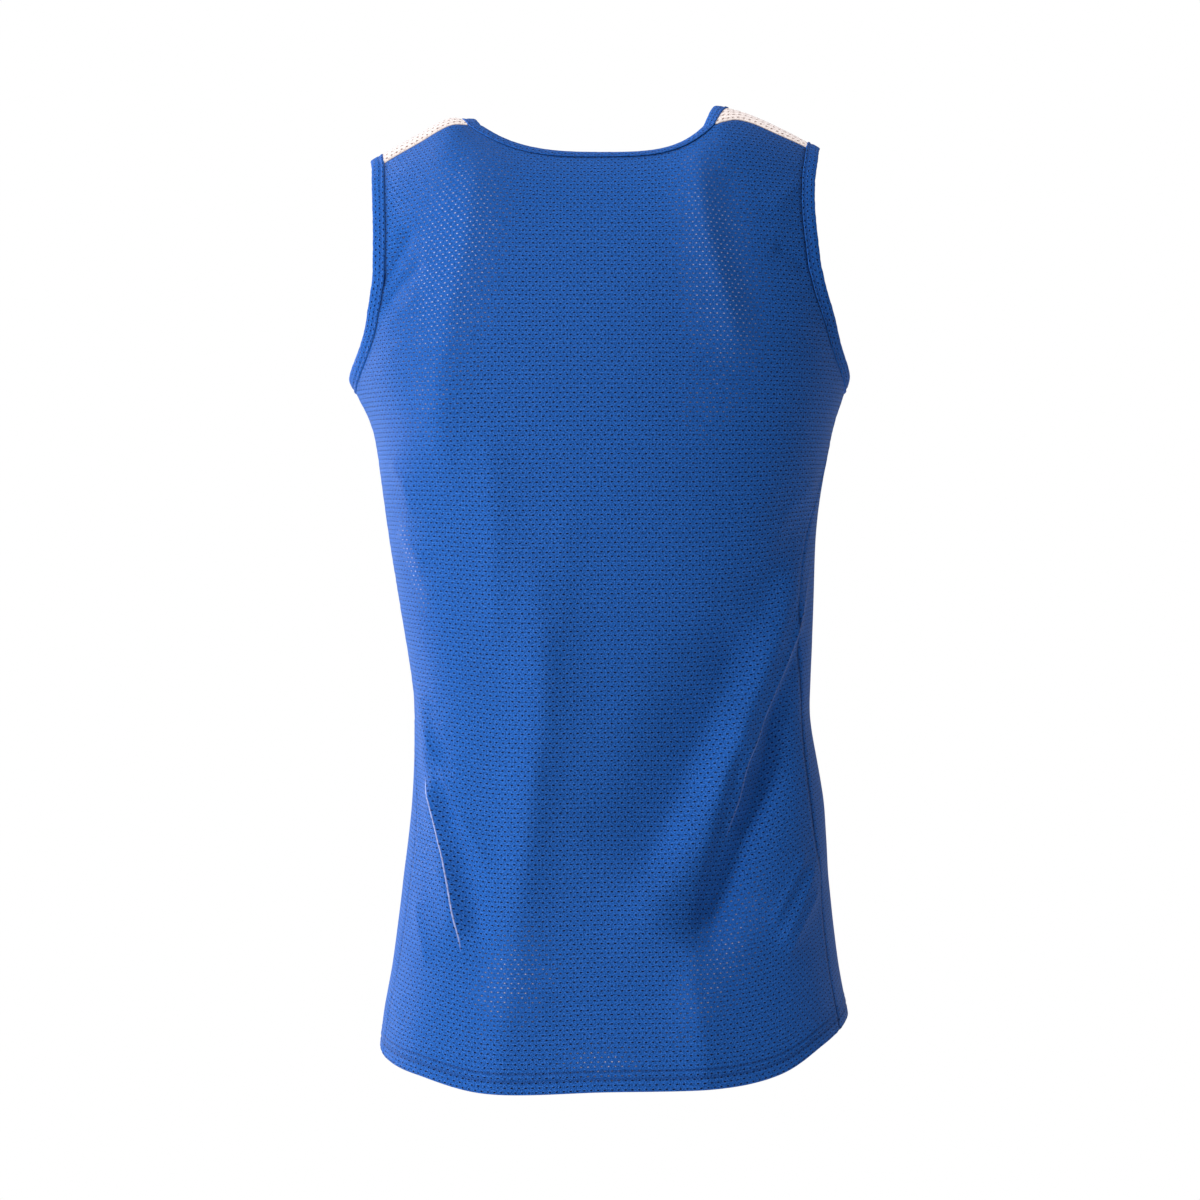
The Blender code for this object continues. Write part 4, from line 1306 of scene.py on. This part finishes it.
grids = {side: panel_grid(side) for side in ("back", "front")}
back_panel = panel_piece("back_panel", "back", grids["back"])
front_panel = panel_piece("front_panel", "front", grids["front"])
print("back and front faces:", len(back_panel.data.polygons), len(front_panel.data.polygons))

# %% [markdown]
# ## Shoulder insets
#
# A narrow white strip joins back and front over each shoulder. Its rows run from the back seam over the
# ridge to the front seam. Its two short edges bulge a little where the shoulder is highest, because the
# binding sewn to them pulls less there.

# %% Both insets
NECK_BULGE_LEFT = 0.006
NECK_BULGE_RIGHT = 0.012
ARMHOLE_BULGE = 0.005
INSET_ROWS = 46
INSET_COLUMNS = 34
INSET_STEP = 0.0005
INSET_CROWDING = 0.10
INSET_SHADE = 0.5
# The inset's mesh is pulled open over the shoulder, so its holes are longer there and their rows further
# apart.
INSET_ACROSS = 1.12
INSET_OVER = 0.42


def shoulder_points(x, y):
    """Points on the shoulder under places seen from above."""
    return grid_of(x, y, shoulder_height(x, y))


def crowded(count):
    """Shares from 0 to 1 that lie closer together at both ends."""
    even = np.linspace(0, 1, count + 1)
    return even - INSET_CROWDING * np.sin(2 * math.pi * even)


def inset_grid(hand):
    """The grid of one inset, from its back seam over the ridge, and from the neck out to the armhole."""
    left = hand == "left"
    sign = 1 if left else -1
    neck = NECK_CORNER_LEFT if left else NECK_CORNER_RIGHT
    neck_bulge = NECK_BULGE_LEFT if left else -NECK_BULGE_RIGHT
    arm_back = sign * smooth(ARMHOLE_EDGE, "back_" + hand, 1.0)
    arm_front = sign * smooth(ARMHOLE_EDGE, "front_" + hand, 1.0)
    way = crowded(INSET_ROWS)[:, None]
    out = crowded(INSET_COLUMNS)[None, :]
    bulge = 4 * way * (1 - way)
    neck_x = neck + neck_bulge * bulge
    arm_x = arm_back + (arm_front - arm_back) * way + sign * ARMHOLE_BULGE * bulge
    x = neck_x + (arm_x - neck_x) * out
    back_y = inset_seam("back", x) - SEAM_GAP / 2
    front_y = inset_seam("front", x) + SEAM_GAP / 2
    y = back_y + (front_y - back_y) * way
    points = shoulder_points(x, y)
    step = INSET_STEP
    along_x = shoulder_points(x + step, y) - shoulder_points(x - step, y)
    along_y = shoulder_points(x, y + step) - shoulder_points(x, y - step)
    outward = unit(np.cross(along_x, along_y))
    over = lengths_along(points, axis=0)
    across = lengths_along(points, axis=1)
    relief = seam_relief(over, across, 1.2) + seam_relief(over[-1:] - over, across, 3.3)
    points = points + outward * relief[..., None]
    # Painted shade along the inset's two seams.
    sewn = INSET_SHADE * line_shade(np.minimum(over, over[-1:] - over))
    return {"points": points, "outward": outward, "metres": grid_of(across * INSET_ACROSS, over * INSET_OVER),
            "values": {"painted_light_holes": np.zeros_like(sewn), "sewn": sewn}}


def inset_piece(hand):
    """An inset as a piece of cloth."""
    name = "inset_" + hand
    grid = grids[name]
    half = grid["outward"] * (CLOTH / 2)
    outer = grid["points"] + half
    inner = grid["points"] - half
    piece = cloth_piece(name, outer, inner, grid["metres"], grid["values"], white_mesh)
    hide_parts("shoulder_inset_" + hand)
    return piece


for hand in ("left", "right"):
    grids["inset_" + hand] = inset_grid(hand)
insets = [inset_piece(hand) for hand in ("left", "right")]
print("insets:", [piece.name for piece in insets])

# %% [markdown]
# ## Folded bindings
#
# Neck and armholes are bound with a strip of the same mesh, folded in half over the raw edge and sewn down
# with one row of stitches. So a binding is a thin strip bent into a U: an outer leg, the fold, and an inner
# leg, with the panel's edge between them. The stitches draw it in and leave a small roll of cloth along the
# panel. The strip follows a closed line made of the edges of the pieces that it binds.

# %% Lines round the neck and the armholes
LOOP_STEP = 0.0016
LOOP_SOFTENING = 6
WAY_SOFTENING = 14
# A binding tips out of the plane of its cloth: by its splay where the cloth faces back or front, and by its
# stand, left and right, where the cloth faces up.
BINDING_SPLAY = 0.5
NECK_SPLAY = -0.54
NECK_STAND = (0.45, 0.05)
STAND_BLEND = 0.12
SIDE_COLUMNS = len(EDGE_COLUMNS)


def softened(values, passes):
    """A closed row of values, each moved towards its neighbours a few times."""
    for _ in range(passes):
        values = (np.roll(values, 1, axis=0) + 2 * values + np.roll(values, -1, axis=0)) / 4
    return values


def closed_lengths(points):
    """The length of a closed line up to each of its points, and all the way round."""
    steps = np.linalg.norm(np.diff(np.concatenate([points, points[:1]]), axis=0), axis=1)
    return np.concatenate([[0.0], np.cumsum(steps)])


def at_lengths(places, lengths, values):
    """Values of a closed line at places along it."""
    closed = np.concatenate([values, values[:1]])
    return np.stack([np.interp(places, lengths, closed[:, axis]) for axis in range(closed.shape[1])], axis=1)


def edge_of(grid, rows, columns, turned=False):
    """A stretch of a piece's edge, its points and its ways out."""
    step = -1 if turned else 1
    return grid["points"][rows, columns][::step], grid["outward"][rows, columns][::step]


def edge_loop(stretches, splay, stand=(0.0, 0.0)):
    """An even closed line through stretches of edge, with the way out and the way into the opening."""
    points = np.concatenate([line[:-1] for line, _ in stretches])
    outward = np.concatenate([ways[:-1] for _, ways in stretches])
    lengths = closed_lengths(points)
    count = int(round(lengths[-1] / LOOP_STEP))
    places = np.arange(count) * lengths[-1] / count
    points = softened(at_lengths(places, lengths, points), LOOP_SOFTENING)
    outward = unit(softened(at_lengths(places, lengths, outward), WAY_SOFTENING))
    along = unit(np.roll(points, -1, axis=0) - np.roll(points, 1, axis=0))
    into = unit(softened(np.cross(along, outward), WAY_SOFTENING))
    if np.sum(into * (points.mean(axis=0) - points)) < 0:
        into = -into
    lean = splay * np.abs(outward[:, 1:2])
    leftward = ease(points[:, :1] / STAND_BLEND + 0.5)
    lean = lean + (stand[1] + (stand[0] - stand[1]) * leftward) * outward[:, 2:] ** 4
    lengths = closed_lengths(points)
    return {
        "points": points,
        "outward": unit(outward - lean * into),
        "into": unit(into + lean * outward),
        "lengths": lengths,
    }


def neck_columns(side):
    """The columns of a panel's upper edge that lie along the neck."""
    first, middle, _ = COLUMNS[side]
    return slice(first + SIDE_COLUMNS, first + middle + SIDE_COLUMNS + 1)


loops = {
    "neck_binding": edge_loop([
        edge_of(grids["back"], -1, neck_columns("back")),
        edge_of(grids["inset_right"], slice(None), 0),
        edge_of(grids["front"], -1, neck_columns("front"), turned=True),
        edge_of(grids["inset_left"], slice(None), 0, turned=True),
    ], splay=NECK_SPLAY, stand=NECK_STAND),
}
for hand, column in (("left", 0), ("right", -1)):
    loops["armhole_binding_" + hand] = edge_loop([
        edge_of(grids["back"], slice(ARMPIT_ROW, None), column),
        edge_of(grids["inset_" + hand], slice(None), -1),
        edge_of(grids["front"], slice(ARMPIT_ROW, None), column, turned=True),
    ], splay=BINDING_SPLAY)
print("bound edges in mm:", {name: round(1000 * loop["lengths"][-1]) for name, loop in loops.items()})

# %% The strip's U shape, and the strip along a line
# Each row is one place across the outer leg: how far into the opening, and how far out from the middle.
OUTER_LEG = (
    ("reach", "rise"),
    (-0.0014, 0.00050),
    (-0.0012, 0.00085),
    (-0.0008, 0.00118),
    (-0.0003, 0.00134),
    (0.0003, 0.00130),
    (0.0009, 0.00102),
    (0.0016, 0.00072),
    (0.0024, 0.00085),
    (0.0031, 0.00110),
    (0.0042, 0.00118),
    (0.0055, 0.00112),
    (0.0070, 0.00102),
    (0.0082, 0.00092),
    (0.0090, 0.00070),
    (0.0094, 0.00036),
)
INNER_LEG_SHARE = 0.75
STRIP = 0.0005
FOLD_REACH = 0.0095
FOLD_WAVE = 0.00018
ROLL_WAVE = 0.22
ROLL_LENGTHS = (0.0061, 0.0094, 0.0143)


def strip_profile():
    """Points round the U: outside of the outer leg, fold, outside of the inner leg, then back inside."""
    leg = np.array(OUTER_LEG[1:])
    inner = leg[::-1] * (1, -INNER_LEG_SHARE)
    outside = np.concatenate([leg, [(FOLD_REACH, 0.0)], inner])
    along = unit(np.gradient(outside, axis=0))
    way_in = np.stack([along[:, 1], -along[:, 0]], axis=1)
    return outside, outside + way_in * STRIP


# %% A closed loop of strip, and the three bindings
def loop_piece(name, layers, metres, finish):
    """A closed loop of thin strip: outside and inside grids whose last ring is the first one again."""
    outer, inner = layers
    rings, across = outer.shape[0] - 1, outer.shape[1]
    count = rings * across
    vertices = np.concatenate([outer[:-1].reshape(-1, 3), inner[:-1].reshape(-1, 3)])
    ring = np.arange(rings)
    after = (ring + 1) % rings
    faces = []
    maps = []
    for side in range(across - 1):
        for first, turned in ((0, False), (count, True)):
            corners = [(ring, side), (ring, side + 1), (after, side + 1), (after, side)]
            face = np.stack([first + r * across + c for r, c in corners], axis=1)
            unrolled = [(ring, side), (ring, side + 1), (ring + 1, side + 1), (ring + 1, side)]
            place = np.stack([metres[r, c] for r, c in unrolled], axis=1)
            faces.append(face[:, ::-1] if turned else face)
            maps.append(place[:, ::-1] if turned else place)
    for side, turned in ((0, False), (across - 1, True)):
        corners = [(ring, 0), (after, 0), (after, count), (ring, count)]
        face = np.stack([first + r * across + side for r, first in corners], axis=1)
        place = np.stack([metres[r, side] for r in (ring, ring + 1, ring + 1, ring)], axis=1)
        faces.append(face[:, ::-1] if turned else face)
        maps.append(place[:, ::-1] if turned else place)
    faces = np.concatenate(faces)
    maps = np.concatenate(maps)
    a, b, c, d = (vertices[faces[:, corner]] for corner in range(4))
    volume = np.sum(a * np.cross(b, c)) + np.sum(a * np.cross(c, d))
    if volume < 0:
        faces = faces[:, ::-1]
        maps = maps[:, ::-1]
    mesh = quad_mesh(name, vertices, faces)
    add_map(mesh, "cloth", maps)
    add_value(mesh, "inside", np.repeat([0.0, 1.0], count))
    for value_name in ("painted_light_holes", "sewn"):
        add_value(mesh, value_name, np.zeros(2 * count))
    return add_piece(name, mesh, finish)


def binding_piece(name, loop, node):
    """A folded strip along a closed line, with a slightly uneven fold and roll."""
    outside, inside = strip_profile()
    places = loop["lengths"][:-1]
    wave = waves(places, ROLL_LENGTHS, 0.9)[:, None]
    layers = []
    for profile in (outside, inside):
        reach = profile[:, 0][None, :]
        rise = profile[:, 1][None, :]
        share = reach / FOLD_REACH
        reach = reach + FOLD_WAVE * wave * share**2
        rise = rise * (1 + ROLL_WAVE * wave * (1 - np.abs(share)))
        layers.append(loop["points"][:, None] + loop["into"][:, None] * reach[..., None]
                      + loop["outward"][:, None] * rise[..., None])
    strip_place = np.concatenate([[0.0], np.cumsum(np.linalg.norm(np.diff(outside, axis=0), axis=1))])
    closed = [np.concatenate([layer, layer[:1]]) for layer in layers]
    metres = grid_of(loop["lengths"][:, None], strip_place[None, :])
    piece = loop_piece(name, closed, metres, binding_mesh)
    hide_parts(node)
    return piece


bindings = {name: binding_piece(name + "_strip", loop, name) for name, loop in loops.items()}
print("binding faces:", {name: len(piece.data.polygons) for name, piece in bindings.items()})

# %% [markdown]
# ## Stitches
#
# A row of stitches is many short lengths of thread that come up and go down again, each about 3 mm from the
# next. Every stitch is a six-sided grain of thread with narrow ends. One row becomes one mesh, so that it
# costs a single object. The hem has two rows side by side, sewn with a twin needle.

# %% Rows of thread
STITCH_SPACING = 0.0029
STITCH_LENGTH = 0.0021
THREAD_RADIUS = 0.00020
STITCH_SIDES = 6
THREAD_STEP = 0.001
# Each ring has its place along the stitch, in stitch lengths, and its thickness and rise, in thread radii.
STITCH_RINGS = ((-0.50, 0.35, -1.1), (-0.28, 0.95, 0.1), (0.28, 0.95, 0.1), (0.50, 0.35, -1.1))


def row_of_stitches(points, outward):
    """Vertices and faces of stitches along a closed line."""
    lengths = closed_lengths(points)
    count = int(round(lengths[-1] / STITCH_SPACING))
    places = np.arange(count) * lengths[-1] / count
    middle = at_lengths(places, lengths, points)
    out = unit(at_lengths(places, lengths, outward))
    ahead = at_lengths((places + THREAD_STEP) % lengths[-1], lengths, points)
    behind = at_lengths((places - THREAD_STEP) % lengths[-1], lengths, points)
    along = unit(ahead - behind)
    beside = unit(np.cross(along, out))
    vertices = []
    for share, thickness, rise in STITCH_RINGS:
        for side in range(STITCH_SIDES):
            turn = 2 * math.pi * side / STITCH_SIDES
            spread = beside * math.cos(turn) + out * math.sin(turn)
            vertices.append(middle + along * share * STITCH_LENGTH
                            + (spread * thickness + out * rise) * THREAD_RADIUS)
    vertices = np.stack(vertices, axis=1).reshape(-1, 3)
    sides = np.arange(STITCH_SIDES)
    beside_sides = (sides + 1) % STITCH_SIDES
    one = [np.stack([ring * STITCH_SIDES + sides, (ring + 1) * STITCH_SIDES + sides,
                     (ring + 1) * STITCH_SIDES + beside_sides, ring * STITCH_SIDES + beside_sides], axis=1)
           for ring in range(len(STITCH_RINGS) - 1)]
    last = (len(STITCH_RINGS) - 1) * STITCH_SIDES
    one.append(np.array([(0, 1, 2, 3), (0, 3, 4, 5)]))
    one.append(np.array([(3, 2, 1, 0), (5, 4, 3, 0)]) + last)
    one = np.concatenate(one)
    each = len(STITCH_RINGS) * STITCH_SIDES
    faces = (one[None] + np.arange(count)[:, None, None] * each).reshape(-1, 4)
    return vertices, faces


def stitching_piece(name, rows):
    """One piece of thread from several rows of stitches."""
    vertices = []
    faces = []
    total = 0
    for points, outward in rows:
        row_vertices, row_faces = row_of_stitches(points, outward)
        vertices.append(row_vertices)
        faces.append(row_faces + total)
        total += len(row_vertices)
    mesh = quad_mesh(name, np.concatenate(vertices), np.concatenate(faces))
    return add_piece(name, mesh, thread)


# %% Stitches on the bindings and the hem
STITCH_REACH = 0.0018
STITCH_RISE = 0.00080
for name, loop in loops.items():
    rows = []
    for sign, share in ((1, 1.0), (-1, INNER_LEG_SHARE)):
        lift = sign * STITCH_RISE * share
        rows.append((loop["points"] + loop["into"] * STITCH_REACH + loop["outward"] * lift,
                     sign * loop["outward"]))
    stitching_piece(name.replace("binding", "stitching"), rows)

hem_rows = []
for height in HEM_STITCHING:
    row = int(np.argmin(np.abs(levels * LOWER_HEIGHT - height)))
    for layer, sign in (("outer", 1), ("inner", -1)):
        points = np.concatenate([grids["back"][layer][row], grids["front"][layer][row, ::-1]])
        outward = np.concatenate([grids["back"]["outward"][row], grids["front"]["outward"][row, ::-1]])
        hem_rows.append((points, sign * outward))
stitching_piece("hem_stitching", hem_rows)
print("rows of stitches:", len(loops) * 2 + len(hem_rows))

# %% [markdown]
# ## The studio
#
# A pale floor, a white surround and large soft lights. Nearly all the light comes from the wearer's left,
# where one light stands beside the jersey, one behind it and one in front of it. So its left side is bright
# with a pale rim. Its right side is deeper, with one weak light that marks its edge.

# %% Floor, lights and world
FLOOR_HEIGHT = -1.45
FLOOR_RADIUS = 3.6
MIDDLE = (0.0, 0.0, -0.38)
LIGHTS = (
    ("name", "place", "size", "power", "colour"),
    ("key_left", (3.0, 0.80, 0.3), (0.8, 2.2), 54.0, (1.0, 0.99, 0.97)),
    ("back_left", (2.1, 2.0, 1.0), (0.8, 1.0), 48.0, (1.0, 1.0, 1.0)),
    ("rim_left", (2.0, -1.6, 0.5), (0.9, 1.6), 64.0, (1.0, 0.97, 1.0)),
    ("rim_right", (-2.2, -1.6, 0.0), (1.2, 2.4), 7.0, (0.85, 0.92, 1.0)),
    ("above", (0.5, 0.5, 2.0), (1.6, 1.6), 15.0, (1.0, 1.0, 1.0)),
    ("top_insets", (-1.1, 0.9, 2.0), (1.6, 1.6), 49.5, (1.0, 0.98, 0.97)),
)

bpy.ops.mesh.primitive_circle_add(vertices=96, radius=FLOOR_RADIUS, fill_type="NGON",
                                  location=(0.0, 0.0, FLOOR_HEIGHT))
floor = bpy.context.object
floor.name = "floor"
floor_material, _, floor_shader = new_material("pale_floor")
floor_shader.inputs["Base Color"].default_value = (0.93, 0.93, 0.93, 1.0)
floor_shader.inputs["Roughness"].default_value = 0.9
floor.data.materials.append(floor_material)


def soft_light(name, place, size, power, colour):
    """A large flat light that shines on the middle of the jersey."""
    data = bpy.data.lights.new(name, "AREA")
    data.shape = "RECTANGLE"
    data.size, data.size_y = size
    data.energy = power
    data.color = colour
    light = bpy.data.objects.new(name, data)
    light.location = place
    light.rotation_mode = "QUATERNION"
    light.rotation_quaternion = (Vector(MIDDLE) - Vector(place)).to_track_quat("-Z", "Y")
    bpy.context.scene.collection.objects.link(light)
    return light


lights = {name: soft_light(name, *values) for name, *values in LIGHTS[1:]}
print("lights:", list(lights))

# %% [markdown]
# White cloth needs less light than blue cloth to look bright. So two of the lights are kept off the white
# insets, and a light of their own shines on them from above. Blender calls this light linking.

# %% Light for the insets alone
all_but_insets = bpy.data.collections.new("all_but_insets")
only_insets = bpy.data.collections.new("only_insets")
for inset in insets:
    all_but_insets.objects.link(inset)
    only_insets.objects.link(inset)
for shared in all_but_insets.collection_objects:
    shared.light_linking.link_state = "EXCLUDE"
for name in ("key_left", "above"):
    lights[name].light_linking.receiver_collection = all_but_insets
lights["top_insets"].light_linking.receiver_collection = only_insets
print("lights kept off the insets:", [name for name in lights
                                      if lights[name].light_linking.receiver_collection == all_but_insets])

# %% [markdown]
# The surround itself also gives light. A plain white one would wash out the folds, so it is dim on one side
# and brighter on the other. What the camera sees of it stays white, because a light path tells the two
# apart.

# %% A white surround, brightest towards the left front
SURROUND_BRIGHT = 0.52
SURROUND_DIM = 0.24
SURROUND_FROM = (0.70, -0.50, 0.50)
SURROUND_BLEND = 0.8

world = bpy.data.worlds.new("white_studio")
world.use_nodes = True
world_tree = world.node_tree
background = world_tree.nodes["Background"]
direction = world_tree.nodes.new("ShaderNodeTexCoord")
facing = world_tree.nodes.new("ShaderNodeVectorMath")
facing.operation = "DOT_PRODUCT"
world_tree.links.new(direction.outputs["Generated"], facing.inputs[0])
facing.inputs[1].default_value = SURROUND_FROM
share = facing.outputs["Value"]
glow = remap(world_tree, share, -SURROUND_BLEND, SURROUND_BLEND, SURROUND_DIM, SURROUND_BRIGHT)
path = world_tree.nodes.new("ShaderNodeLightPath")
seen = calculate(world_tree, "MAXIMUM", glow, path.outputs["Is Camera Ray"])
world_tree.links.new(seen, background.inputs["Strength"])
background.inputs["Color"].default_value = (1.0, 1.0, 1.0, 1.0)
bpy.context.scene.world = world
bpy.context.scene.view_settings.view_transform = "Standard"
print("surround:", SURROUND_DIM, "to", SURROUND_BRIGHT)
